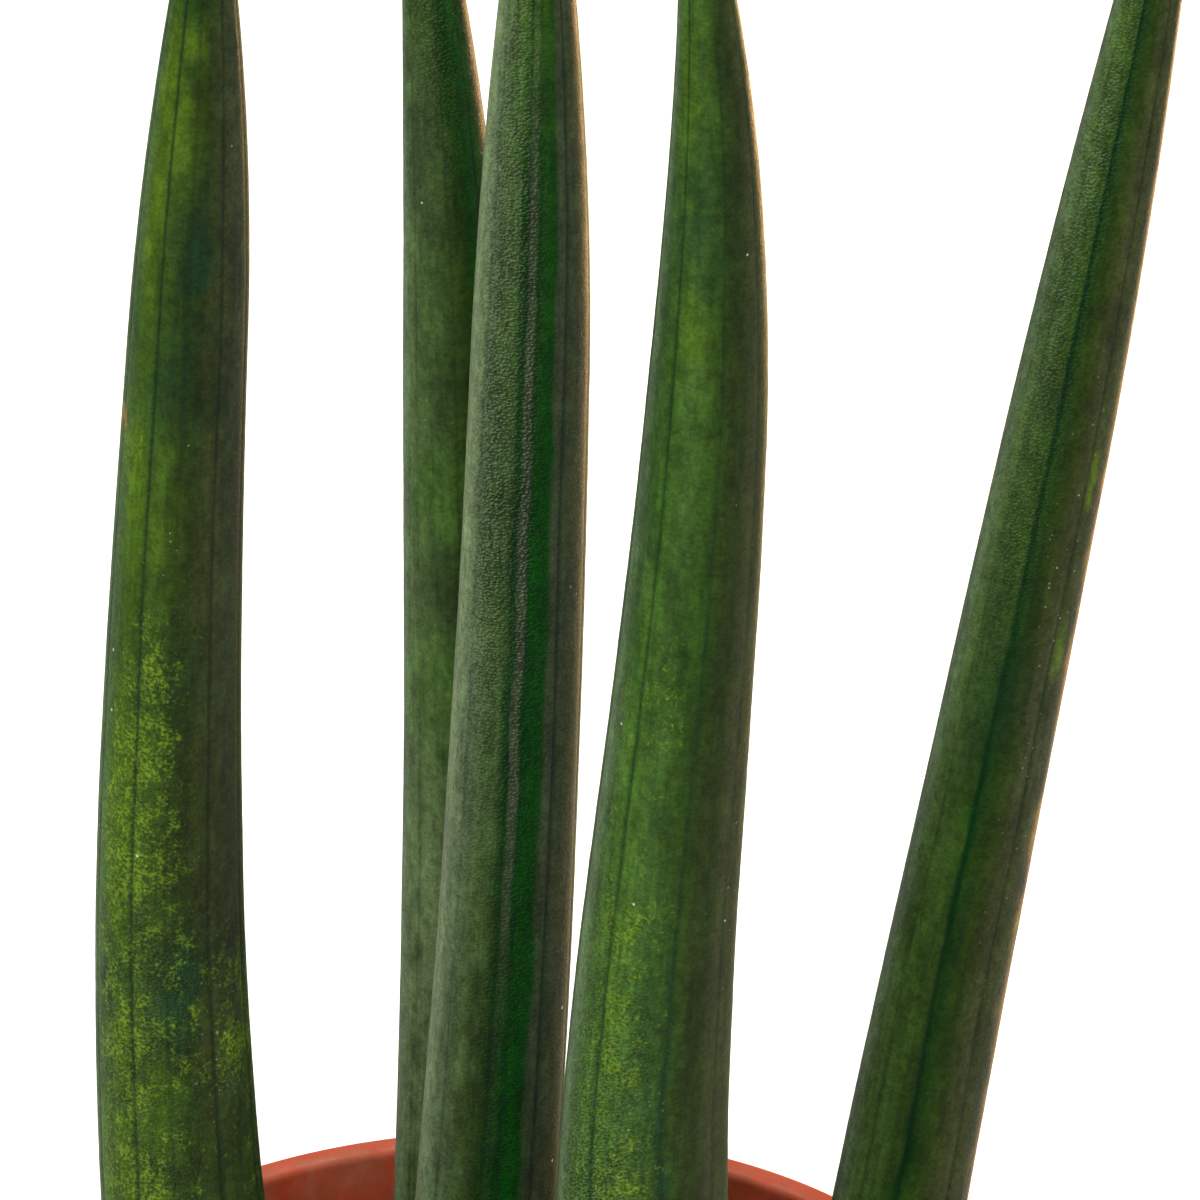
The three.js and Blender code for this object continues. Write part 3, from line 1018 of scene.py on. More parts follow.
@dataclass(frozen=True)
class LeafFinish:
    """Waxy skin with low domes, undertones stored on the leaf, painted highlight and painted shade
    on the domes.
    """

    lime: Colour = linear(112, 138, 32)
    green: Colour = linear(58, 88, 14)
    painted_glint: Colour = linear(136, 158, 124)
    crease: Colour = linear(8, 30, 22)
    buried: Colour = linear(196, 170, 112)
    tip: Colour = linear(122, 88, 52)
    dust: Colour = linear(186, 190, 166)
    pebble_size: float = 0.4 * MM
    pebble_depth: float = 0.12 * MM
    cloud_size: float = 2.4 * MM
    cloud_depth: float = 0.05 * MM
    blot_size: float = 1.1 * MM
    fleck_size: float = 0.42 * MM
    fleck_depth: float = 0.03 * MM
    mark_spacing: float = 0.7 * MM
    speck_spacing: float = 3.2 * MM

    def build(self, effects: Effects) -> bpy.types.Material:
        """Makes the material.

        Args:
            effects: the shared effects.

        Returns:
            The material.
        """
        wiring = Coat("leaf_skin", specular=0.055)
        place = wiring.mark("straight", vector=True)
        pebbled_and_glinting = wiring.mark("pebbled_and_glinting")
        mottle = wiring.use(effects[Effect.MOTTLE], Place=place, Amount=wiring.mark("grain"))
        pebbles_and_glints = wiring.use(
            effects[Effect.PEBBLES], Place=place, Size=self.pebble_size, Unevenness=0.35
        )
        streak = wiring.use(effects[Effect.STREAKS], Place=place).outputs["Streak"]
        ragged = wiring.noise(
            wiring.stretch(place, (1.0, 1.0, 0.4)), self.cloud_size, 4.0, 0.72
        )
        fine = wiring.noise(
            wiring.stretch(place, (1.0, 1.0, 1.25)), self.fleck_size, 2.0, 0.6
        )

        depth = wiring.between(pebbled_and_glinting, 0.0, 0.8, 1.15, 1.9)
        shimmer = wiring.math("MULTIPLY", wiring.math("SUBTRACT", fine, 0.5), depth)
        middling = wiring.noise(place, self.blot_size, 2.0, 0.6)
        light = wiring.math(
            "MULTIPLY",
            wiring.between(ragged, 0.3, 0.7, 0.76, 1.3),
            wiring.math("ADD", shimmer, wiring.between(middling, 0.3, 0.7, 0.84, 1.2)),
        )
        colour = wiring.brighten(wiring.mark("undertone", vector=True), light)
        lively = wiring.blend(wiring.between(fine, 0.38, 0.64), self.green, self.lime)
        lively = wiring.brighten(lively, wiring.between(light, 0.6, 1.5, 0.7, 1.15))
        colour = wiring.blend(mottle.outputs["Grain"], colour, lively)
        # Painted light on the domes: shade in their hollows, a little darker over the whole domed
        # patch, and a pale highlight on the side of each dome towards the upper-left light.
        painted_hollow_shade = wiring.math("MULTIPLY", pebbles_and_glints.outputs["Painted Shade"], pebbled_and_glinting)
        shade = wiring.math("SUBTRACT", 1.0, wiring.math("MULTIPLY", painted_hollow_shade, 0.55))
        shade = wiring.math("MULTIPLY", shade, wiring.between(pebbled_and_glinting, 0.3, 1.0, 1.0, 0.82))
        colour = wiring.brighten(colour, shade)
        crown = wiring.math("MULTIPLY", pebbles_and_glints.outputs["Painted Glint"], pebbled_and_glinting)
        colour = wiring.blend(wiring.math("MULTIPLY", crown, 0.5), colour, self.painted_glint)
        colour = wiring.blend(wiring.math("MULTIPLY", streak, 0.2), colour, self.crease)
        line = wiring.math("MULTIPLY", wiring.mark("crease"), 0.72)
        colour = wiring.blend(line, colour, self.crease)
        marks = wiring.use(
            effects[Effect.SPECKS], Place=place, Size=self.mark_spacing, Amount=0.5, Radius=0.26
        )
        dried = wiring.math("MULTIPLY", marks.outputs["Speck"], wiring.mark("dusty"))
        colour = wiring.blend(wiring.math("MULTIPLY", dried, ragged), colour, self.dust)
        specks = wiring.use(
            effects[Effect.SPECKS], Place=place, Size=self.speck_spacing, Amount=0.3
        )
        colour = wiring.blend(specks.outputs["Speck"], colour, self.dust)
        colour = wiring.blend(wiring.mark("tip"), colour, self.tip)
        soil = SOIL_LEVEL / MM
        buried = wiring.between(wiring.mark("height"), soil - 3.0, soil + 3.0, 1.0, 0.0)
        colour = wiring.blend(buried, colour, self.buried)

        rough = wiring.between(pebbles_and_glints.outputs["Height"], 0.0, 1.0, 0.56, 0.38)
        rough = wiring.math("ADD", rough, wiring.between(ragged, 0.3, 0.7, 0.0, 0.12))
        stand = wiring.between(pebbled_and_glinting, 0.0, 1.0, 0.3, 1.0)
        domes = wiring.math("MULTIPLY", pebbles_and_glints.outputs["Height"], stand)
        normal = wiring.bump(ragged, self.cloud_depth)
        normal = wiring.bump(domes, self.pebble_depth, normal)
        return wiring.finish(colour, rough, wiring.bump(fine, self.fleck_depth, normal))


# ---- Pot ----------------------------------------------------------------------------------------


@dataclass(frozen=True)
class Pot:
    """The tapered plastic pot, turned from one profile, with holes in its floor. Millimetres."""

    wall: float = 1.2
    lip_width: float = 3.7
    lip_round: float = 1.0
    skirt_height: float = 12.0
    skirt_taper: float = 0.5
    base_radius: float = 38.0
    foot_height: float = 2.0
    foot_width: float = 6.0
    foot_slope: float = 1.5
    pad_radius: float = 12.0
    floor_round: float = 1.0
    hole_radius: float = 3.6
    holes: int = 6
    hole_sides: int = 40
    bore_rings: int = 24
    segments: int = 240

    @property
    def height(self) -> float:
        """The pot's height, from the frame."""
        return float(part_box("pot")[1][2]) / MM

    @property
    def rim_radius(self) -> float:
        """The lip's outer radius, from the frame."""
        return float(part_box("pot")[1][0]) / MM

    @staticmethod
    def corner(
        x: float, z: float, r: float, start: float, end: float
    ) -> list[tuple[float, float]]:
        """A rounded corner of radius r about x, z, from one angle to another in degrees."""
        angle = np.radians(np.linspace(start, end, 7))
        return list(zip((x + r * np.cos(angle)).tolist(), (z + r * np.sin(angle)).tolist()))

    def bore(self, z: float) -> float:
        """The inner wall's radius at a height.

        Args:
            z: the height, in millimetres.

        Returns:
            The radius, in millimetres.
        """
        top = self.rim_radius - self.lip_width
        slope = (top - self.base_radius + self.wall) / self.height
        return top - (self.height - z) * slope

    def profile(self) -> tuple[list[tuple[float, float]], list[float]]:
        """The outline of the pot's section, from the middle underneath to the middle of the floor.

        Formula: straight runs between rounded corners. The inner wall narrows evenly from the lip
        down to the floor, and the outer wall stands one wall's thickness outside it.

        Returns:
            The points as radius and height, and how far each one is inside the pot, 0 or 1.
        """
        foot = self.base_radius - self.foot_width
        skirt_foot = self.height - self.skirt_height
        skirt = self.rim_radius - self.skirt_taper
        under = self.height - self.wall
        r = self.lip_round
        thin = self.wall / 2.0
        top = self.rim_radius - self.lip_width
        floor = self.foot_height + self.wall
        fillet = self.floor_round
        levels = np.linspace(self.height - 3.0 * r, floor + fillet, self.bore_rings)
        outside = [
            (0.0, 0.0),
            (self.pad_radius, 0.0),
            (self.pad_radius + self.foot_slope, self.foot_height),
            (foot - self.foot_slope, self.foot_height),
            (foot, 0.0),
            *self.corner(self.base_radius - r, r, r, -90.0, 0.0),
            (self.bore(under) + self.wall, under),
            (self.rim_radius - self.wall, under),
            *self.corner(skirt - thin, skirt_foot + thin, thin, 180.0, 360.0),
            *self.corner(self.rim_radius - r, self.height - r, r, 0.0, 90.0),
        ]
        inside = [
            *self.corner(top + r, self.height - r, r, 90.0, 180.0),
            *((self.bore(z), z) for z in levels),
            *self.corner(self.bore(floor) - fillet, floor + fillet, fillet, 0.0, -90.0)[1:],
            (0.0, floor),
        ]
        return outside + inside, [0.0] * len(outside) + [1.0] * len(inside)

    def build(self, finish: bpy.types.Material) -> bpy.types.Object:
        """Turns the profile about the axis and cuts the drain holes.

        Args:
            finish: the material.

        Returns:
            The finished pot.
        """
        outline, inside = self.profile()
        section = np.array(outline) * MM
        turn = np.linspace(0.0, 2.0 * np.pi, self.segments, endpoint=False)
        sheet = Sheet(turned(np.maximum(section[:, 0], PINHOLE), section[:, 1], turn))
        sheet.marks["inside"] = np.repeat(np.array(inside)[:, None], len(turn), axis=1)
        piece = sheet.build("pot_shell")
        self.drill(piece)
        piece.data.set_sharp_from_angle(angle=np.radians(38.0))
        dress(piece, finish)
        return stand_in(piece, "pot_plastic", "pot")

    def drill(self, piece: bpy.types.Object) -> None:
        """Cuts the drain holes between the centre pad and the foot.

        Args:
            piece: the turned pot.
        """
        ring = (self.pad_radius + self.base_radius - self.foot_width) / 2.0 * MM
        around = np.linspace(0.0, 2.0 * np.pi, self.hole_sides, endpoint=False)
        circle = self.hole_radius * MM * np.stack((np.cos(around), np.sin(around)), axis=-1)
        for i in range(self.holes):
            angle = 2.0 * np.pi * (i + 0.5) / self.holes
            flat = circle + ring * np.array((np.cos(angle), np.sin(angle)))
            levels = (-10.0 * MM, 10.0 * MM)
            ends = [np.column_stack((flat, np.full(len(flat), z))) for z in levels]
            cutter = Sheet(np.stack(ends)).build("drill")
            cut = piece.modifiers.new("drain_hole", "BOOLEAN")
            cut.object = cutter
            cut.operation = "DIFFERENCE"
            bpy.context.view_layer.objects.active = piece
            bpy.ops.object.modifier_apply(modifier=cut.name)
            bpy.data.objects.remove(cutter)


@dataclass(frozen=True)
class PotFinish:
    """Terracotta-coloured plastic, dusty and stained inside near the mix, with a painted highlight
    on the lip's top.
    """

    plastic: Colour = linear(160, 48, 20)
    worn_and_highlight: Colour = linear(176, 84, 54)
    stain: Colour = linear(116, 70, 40)
    mineral: Colour = linear(196, 176, 160)
    dusty_height: float = 22.0 * MM
    rim_highlight_depth: float = 1.2 * MM
    cloud_size: float = 22.0 * MM
    dust_size: float = 9.0 * MM
    smear_size: float = 6.0 * MM
    crust_size: float = 4.0 * MM
    speck_spacing: float = 2.4 * MM
    scuff_size: float = 1.4 * MM
    scuff_depth: float = 0.02 * MM
    grain_size: float = 0.35 * MM
    grain_depth: float = 0.012 * MM

    def build(self, effects: Effects) -> bpy.types.Material:
        """Makes the material.

        Args:
            effects: the shared effects.

        Returns:
            The material.
        """
        wiring = Coat("pot_plastic", specular=0.16)
        place = wiring.place()
        height = wiring.add("ShaderNodeSeparateXYZ")
        wiring.feed(height.inputs[0], place)
        level = height.outputs[2]
        inside = wiring.mark("inside")
        cloud = wiring.noise(place, self.cloud_size, 4.0, 0.6)
        grain = wiring.noise(place, self.grain_size)
        film = wiring.use(effects[Effect.FILM], Place=place, Size=self.dust_size, Amount=0.5)
        scuffs = wiring.noise(wiring.stretch(place, (0.2, 0.2, 1.0)), self.scuff_size, 4.0, 0.7)

        colour = wiring.blend(wiring.between(cloud, 0.35, 0.7, 0.1, 0.5), self.plastic, self.worn_and_highlight)
        outside = wiring.math("SUBTRACT", 1.0, inside)
        dull = wiring.math("MULTIPLY", film.outputs["Film"], outside)
        colour = wiring.blend(dull, colour, self.worn_and_highlight)
        foot = wiring.between(level, self.dusty_height, 0.0, 0.04, 0.3)
        foot = wiring.math("MULTIPLY", foot, outside)
        foot = wiring.math("MULTIPLY", foot, wiring.between(scuffs, 0.35, 0.65))
        colour = wiring.blend(foot, colour, self.mineral)
        top = float(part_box("pot")[1][2])
        # Painted highlight: the lip's top is paler where light from above falls on it.
        edge = wiring.between(level, top - self.rim_highlight_depth, top, 0.0, 0.25)
        colour = wiring.blend(edge, colour, self.worn_and_highlight)
        low = wiring.between(level, SOIL_LEVEL + 1.0 * MM, top - 3.0 * MM, 1.0, 0.35)
        patch = wiring.noise(wiring.stretch(place, (1.0, 1.0, 0.8)), self.smear_size, 5.0, 0.62)
        splash = wiring.math("MULTIPLY", wiring.between(patch, 0.4, 0.54), low)
        splash = wiring.math("MULTIPLY", splash, wiring.math("MULTIPLY", inside, 0.9))
        colour = wiring.blend(splash, colour, self.stain)
        crust = wiring.use(effects[Effect.FILM], Place=place, Size=self.crust_size, Amount=0.9)
        crust = wiring.math("MULTIPLY", crust.outputs["Film"], inside)
        colour = wiring.blend(wiring.math("MULTIPLY", crust, 0.22), colour, self.mineral)
        specks = wiring.use(
            effects[Effect.SPECKS], Place=place, Size=self.speck_spacing, Amount=0.3
        )
        colour = wiring.blend(specks.outputs["Speck"], colour, self.mineral)

        rough = wiring.between(scuffs, 0.35, 0.7, 0.38, 0.6)
        normal = wiring.bump(scuffs, self.scuff_depth)
        return wiring.finish(colour, rough, wiring.bump(grain, self.grain_depth, normal))


# ---- Potting mix --------------------------------------------------------------------------------


@dataclass(frozen=True)
class Footprint:
    """A round place on the mix that a leaf takes up. Metres."""

    x: float
    y: float
    radius: float


@dataclass(frozen=True)
class PottingMix:
    """The mix: a lumpy body, loose crumbs and root fibres on it. Millimetres."""

    crown: float = 1.5
    lump: float = 0.5
    fine: float = 0.3
    lump_room: float = 1.1
    foot_inset: float = 11.5
    margin: float = 0.1
    crumb_margin: float = 0.8
    fibre_margin: float = 6.0
    fibre_reach: tuple[float, float] = (2.0, 5.5)
    fibre_lift: float = 0.45
    fibre_arch: float = 0.9
    fibre_radius: float = 0.11
    rings: int = 130
    segments: int = 360
    crumbs: int = 4200
    crumb_size: tuple[float, float] = (0.35, 1.5)
    fibres: int = 90

    def edge(self) -> float:
        """The body's radius at its top, from the frame, in metres."""
        return float(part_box("potting_mix")[1][0])

    def level(self, place: np.ndarray) -> np.ndarray:
        """Height of the surface.

        Formula: the crown's parabola over the radius, plus broad lumps and fine ones.

        Args:
            place: points with x and y, in metres.

        Returns:
            Heights in metres.
        """
        flat = np.concatenate((place[..., :2], np.zeros(place.shape[:-1] + (1,))), axis=-1)
        share = np.linalg.norm(flat, axis=-1) / self.edge()
        top = float(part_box("potting_mix")[1][2]) - (self.crown + self.lump_room) * MM
        lumps = self.lump * Ripples(11.0 * MM, 5).at(flat)
        lumps = lumps + self.fine * Ripples(2.6 * MM, 6, 24).at(flat)
        return top + (self.crown * (1.0 - share**2) + lumps) * MM

    def body(self) -> bpy.types.Object:
        """The closed body: underside, tapered side and lumpy top, turned about the axis.

        Returns:
            The body.
        """
        low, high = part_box("potting_mix")
        edge = self.edge()
        foot = edge - self.foot_inset * MM
        turn = np.linspace(0.0, 2.0 * np.pi, self.segments, endpoint=False)
        least = self.margin * MM
        top = np.linspace(edge, least, self.rings)
        radius = np.concatenate(((least, foot / 2.0, foot), top))
        height = np.concatenate((np.full(3, low[2]), np.full(self.rings, high[2])))
        points = turned(radius, height, turn)
        points[3:, :, 2] = self.level(points[3:])
        return Sheet(points).build("mix_body")

    def scattered(self, count: int, seed: int, taken: list[Footprint]) -> np.ndarray:
        """Random places on the mix, clear of the leaves.

        Formula: the angle is random, and the radius is the edge's times the square root of a
        random share, so that the places are spread evenly.

        Args:
            count: how many to try.
            seed: which random numbers.
            taken: where the leaves stand.

        Returns:
            Points on the surface, in metres.
        """
        random = np.random.default_rng(seed)
        radius = (self.edge() - self.crumb_margin * MM) * np.sqrt(random.random(count))
        angle = random.uniform(0.0, 2.0 * np.pi, count)
        flat = np.column_stack((radius * np.cos(angle), radius * np.sin(angle)))
        free = np.ones(count, dtype=bool)
        for foot in taken:
            free &= np.hypot(flat[:, 0] - foot.x, flat[:, 1] - foot.y) > foot.radius
        flat = flat[free]
        return np.column_stack((flat, self.level(flat)))

    def crumb_litter(self, taken: list[Footprint]) -> bpy.types.Object:
        """Crumbs of peat, bark and perlite, joined in one piece.

        Formula: each crumb is an icosahedron whose corners move in by up to a third or a little
        out, flattened a little, turned by a random rotation and set half into the surface.

        Args:
            taken: where the leaves stand.

        Returns:
            The crumbs.
        """
        centre = self.scattered(self.crumbs, 11, taken)
        random = np.random.default_rng(12)
        count = len(centre)
        golden = (1.0 + np.sqrt(5.0)) / 2.0
        signs = [(a, b) for a in (-1.0, 1.0) for b in (-golden, golden)]
        corners = np.array([(0.0, a, b) for a, b in signs] + [(a, b, 0.0) for a, b in signs]
                           + [(b, 0.0, a) for a, b in signs])
        corners /= np.linalg.norm(corners, axis=1, keepdims=True)
        faces = hull_faces(corners)
        axes, _ = np.linalg.qr(random.normal(size=(count, 3, 3)))
        axes *= np.sign(np.linalg.det(axes))[:, None, None]
        small, large = self.crumb_size
        size = small + (large - small) * random.random(count) ** 3.2
        uneven = random.uniform(0.67, 1.15, size=(count, len(corners), 1))
        squash = random.uniform(0.55, 1.1, size=(count, 1, 3))
        lump = (corners[None] * uneven * squash) @ axes
        points = centre[:, None] + lump * (size * MM)[:, None, None]
        away = np.linalg.norm(points[..., :2], axis=-1, keepdims=True)
        points[..., :2] *= np.minimum(1.0, (self.edge() - self.margin * MM) / away)
        index = faces[None] + (len(corners) * np.arange(count))[:, None, None]
        triangles = [tuple(face) for face in index.reshape(-1, 3).tolist()]
        piece = mesh_object("mix_crumbs", points.reshape(-1, 3), triangles)
        paint(piece, "tone", np.repeat(random.random(count), len(corners)))
        return piece

    def strands(self, taken: list[Footprint]) -> bpy.types.Object:
        """Short brown root fibres lying on the mix, joined in one piece.

        Formula: each fibre is a round tube along an arc that leaves the surface a little in its
        middle; its radius tapers to both ends as a half sine.

        Args:
            taken: where the leaves stand.

        Returns:
            The fibres.
        """
        middle = self.scattered(self.fibres, 21, taken)
        reach = self.edge() - self.fibre_margin * MM
        middle = middle[np.linalg.norm(middle[:, :2], axis=1) < reach]
        random = np.random.default_rng(22)
        count = len(middle)
        steps, sides = 10, 5
        t = np.linspace(-1.0, 1.0, steps)
        heading = random.uniform(0.0, 2.0 * np.pi, count)
        half = random.uniform(*self.fibre_reach, count) * MM
        bend = random.uniform(-0.9, 0.9, count)
        forward = np.stack((np.cos(heading), np.sin(heading)), axis=-1)
        aside = np.stack((-np.sin(heading), np.cos(heading)), axis=-1)
        flat = middle[:, None, :2] + half[:, None, None] * (
            t[None, :, None] * forward[:, None] + (bend[:, None] * t**2)[..., None] * aside[:, None]
        )
        arch = random.uniform(0.0, self.fibre_arch, count)
        lift = self.fibre_lift * MM + arch[:, None] * MM * (1.0 - t**2)
        path = np.concatenate((flat, (self.level(flat) + lift)[..., None]), axis=-1)
        around = np.linspace(0.0, 2.0 * np.pi, sides, endpoint=False)
        thick = self.fibre_radius * MM * (0.25 + np.sin(np.pi * (t + 1.0) / 2.0))
        ring = np.stack((np.cos(around), np.sin(around)), axis=-1)
        aside = np.concatenate((aside, np.zeros((count, 1))), axis=-1)
        outward = ring[..., :1] * aside[:, None] + ring[..., 1:] * UP
        points = path[:, :, None] + thick[None, :, None, None] * outward[:, None]
        strand = Sheet(points[0])
        each = steps * sides + 2
        ends = points[:, (0, -1)].mean(axis=2)
        vertices = np.concatenate((points.reshape(count, -1, 3), ends), axis=1).reshape(-1, 3)
        faces = [
            tuple(v + i * each for v in face) for i in range(count) for face in strand.faces()
        ]
        return mesh_object("mix_fibres", vertices, faces)

    def build(
        self, taken: list[Footprint], soil: bpy.types.Material, fibre: bpy.types.Material
    ) -> None:
        """Makes the mix's pieces in the place of its CAD node.

        Args:
            taken: where the leaves stand.
            soil: the finish of the body and the crumbs.
            fibre: the finish of the fibres.
        """
        body = self.body()
        crumbs = self.crumb_litter(taken)
        strands = self.strands(taken)
        for piece, finish in ((body, soil), (crumbs, soil), (strands, fibre)):
            dress(piece, finish)
        stand_in(body, "potting_mix", "potting_mix")
        stand_in(crumbs, "potting_mix")
        stand_in(strands, "potting_mix")


def hull_faces(corners: np.ndarray) -> np.ndarray:
    """The triangles of an icosahedron, outward.

    Formula: three corners make a face where all three pairs are as near as any two corners are.

    Args:
        corners: the 12 corners.

    Returns:
        Twenty rows of three corner numbers.
    """
    apart = np.linalg.norm(corners[:, None] - corners[None], axis=-1)
    near = apart < 1.1 * apart[apart > 0.0].min()
    faces = []
    for a, b, c in combinations(range(len(corners)), 3):
        if near[a, b] and near[b, c] and near[a, c]:
            normal = np.cross(corners[b] - corners[a], corners[c] - corners[a])
            faces.append((a, b, c) if normal @ corners[a] > 0.0 else (a, c, b))
    return np.array(faces)


@dataclass(frozen=True)
class MixFinish:
    """Dark, damp peat with paler crumbs and white perlite among them."""

    damp: Colour = linear(38, 27, 20)
    dry: Colour = linear(92, 68, 48)
    bark: Colour = linear(124, 78, 46)
    white: Colour = linear(226, 222, 212)
    clod_size: float = 6.0 * MM
    clod_depth: float = 0.6 * MM
    grain_size: float = 0.5 * MM
    grain_depth: float = 0.16 * MM
    speck_spacing: float = 1.8 * MM

    def build(self, effects: Effects) -> bpy.types.Material:
        """Makes the material.

        Args:
            effects: the shared effects.

        Returns:
            The material.
        """
        wiring = Coat("potting_mix", specular=0.25)
        place = wiring.place()
        tone = wiring.mark("tone")
        cloud = wiring.noise(place, self.clod_size, 5.0, 0.7)
        grain = wiring.noise(place, self.grain_size, 4.0, 0.7)
        colour = wiring.blend(wiring.between(cloud, 0.4, 0.7), self.damp, self.dry)
        colour = wiring.blend(wiring.between(grain, 0.5, 0.75, 0.0, 0.6), colour, self.dry)
        colour = wiring.blend(wiring.between(tone, 0.82, 0.84, 0.0, 0.8), colour, self.bark)
        colour = wiring.blend(wiring.between(tone, 0.955, 0.96, 0.0, 0.9), colour, self.white)
        specks = wiring.use(
            effects[Effect.SPECKS], Place=place, Size=self.speck_spacing, Amount=0.2
        )
        colour = wiring.blend(specks.outputs["Speck"], colour, self.white)
        rough = wiring.between(cloud, 0.3, 0.7, 0.75, 0.98)
        normal = wiring.bump(cloud, self.clod_depth)
        return wiring.finish(colour, rough, wiring.bump(grain, self.grain_depth, normal))


# ---- Loose pieces, sheaths and rhizome ----------------------------------------------------------


@dataclass(frozen=True)
class Litter:
    """A bark chip or perlite grain, roughened from the shape of its CAD node. Millimetres."""

    node: str
    slot: str
    length: float
    depth: float
    seed: int
    stretch: tuple[float, float, float] = (1.0, 1.0, 1.0)

    def build(self, finish: bpy.types.Material) -> bpy.types.Object:
        """Rounds the CAD shape off and cuts a rough surface into it.

        Formula: the merged shape is subdivided, and each vertex moves towards the middle by up
        to depth, by a random field whose waves are about length long.

        Args:
            finish: the material.

        Returns:
            The finished piece.
        """
        piece = bpy.data.objects.new(f"{self.node}_rough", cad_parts[self.node].data.copy())
        bpy.context.collection.objects.link(piece)
        bpy.context.view_layer.objects.active = piece
        weld = piece.modifiers.new("weld", "WELD")
        weld.merge_threshold = 0.01 * MM
        bpy.ops.object.modifier_apply(modifier=weld.name)
        for style, levels in (("SIMPLE", 1), ("CATMULL_CLARK", 3)):
            rounder = piece.modifiers.new("rounder", "SUBSURF")
            rounder.subdivision_type = style
            rounder.levels = levels
            rounder.render_levels = levels
            bpy.ops.object.modifier_apply(modifier=rounder.name)
        mesh = piece.data
        points = np.empty(len(mesh.vertices) * 3, dtype=np.float32)
        mesh.vertices.foreach_get("co", points)
        points = points.reshape(-1, 3).astype(float)
        middle = points.mean(axis=0)
        out = points - middle
        out /= np.linalg.norm(out, axis=1, keepdims=True)
        place = (points - middle) * self.stretch + self.seed
        cut = 0.5 + 0.5 * Ripples(self.length * MM, self.seed, 30, 2.6).at(place)
        points = points - out * (self.depth * MM * np.clip(cut, 0.0, 1.2))[:, None]
        mesh.vertices.foreach_set("co", points.astype(np.float32).ravel())
        mesh.update()
        mesh.polygons.foreach_set("use_smooth", np.ones(len(mesh.polygons), dtype=bool))
        dress(piece, finish)
        return stand_in(piece, self.slot, self.node)


@dataclass(frozen=True)
class PerliteFinish:
    """White, pitted volcanic foam with a little soil in its pits."""

    foam: Colour = linear(226, 223, 212)
    soil: Colour = linear(120, 96, 76)
    pit_size: float = 0.55 * MM
    pit_depth: float = 0.12 * MM
    soil_size: float = 2.0 * MM

    def build(self, effects: Effects) -> bpy.types.Material:
        """Makes the material.

        Args:
            effects: the shared effects.

        Returns:
            The material.
        """
        wiring = Coat("perlite", specular=0.3)
        place = wiring.place()
        pits = wiring.use(
            effects[Effect.PEBBLES], Place=place, Size=self.pit_size, Unevenness=0.7
        )
        film = wiring.use(effects[Effect.FILM], Place=place, Size=self.soil_size, Amount=0.8)
        colour = wiring.blend(film.outputs["Film"], self.foam, self.soil)
        rough = wiring.between(film.outputs["Film"], 0.0, 0.5, 0.8, 0.95)
        normal = wiring.bump(pits.outputs["Height"], self.pit_depth)
        return wiring.finish(colour, rough, normal)


@dataclass(frozen=True)
class BarkFinish:
    """Fibrous brown bark, darker in its cracks."""

    light: Colour = linear(142, 98, 62)
    dark: Colour = linear(62, 38, 24)
    dust: Colour = linear(170, 150, 128)
    dust_size: float = 3.0 * MM
    fibre_size: float = 0.7 * MM
    fibre_depth: float = 0.2 * MM

    def build(self, effects: Effects) -> bpy.types.Material:
        """Makes the material.

        Args:
            effects: the shared effects.

        Returns:
            The material.
        """
        wiring = Coat("bark", specular=0.25)
        place = wiring.place()
        fibre = wiring.noise(
            wiring.stretch(place, (1.0, 0.25, 1.0)), self.fibre_size, 4.0, 0.7
        )
        film = wiring.use(effects[Effect.FILM], Place=place, Size=self.dust_size, Amount=0.4)
        colour = wiring.blend(wiring.between(fibre, 0.35, 0.65), self.dark, self.light)
        colour = wiring.blend(film.outputs["Film"], colour, self.dust)
        rough = wiring.between(fibre, 0.3, 0.7, 0.95, 0.75)
        return wiring.finish(colour, rough, wiring.bump(fibre, self.fibre_depth))


@dataclass(frozen=True)
class FibreFinish:
    """Dry brown root fibre."""

    pale: Colour = linear(150, 112, 72)
    dark: Colour = linear(84, 56, 36)
    cloud_size: float = 2.5 * MM
    cloud_depth: float = 0.05 * MM

    def build(self, effects: Effects) -> bpy.types.Material:
        """Makes the material.

        Args:
            effects: the shared effects; not used.

        Returns:
            The material.
        """
        wiring = Coat("fibre", specular=0.3)
        place = wiring.place()
        cloud = wiring.noise(place, self.cloud_size, 3.0, 0.6)
        colour = wiring.blend(wiring.between(cloud, 0.35, 0.65), self.dark, self.pale)
        rough = wiring.between(cloud, 0.3, 0.7, 0.9, 0.65)
        return wiring.finish(colour, rough, wiring.bump(cloud, self.cloud_depth))


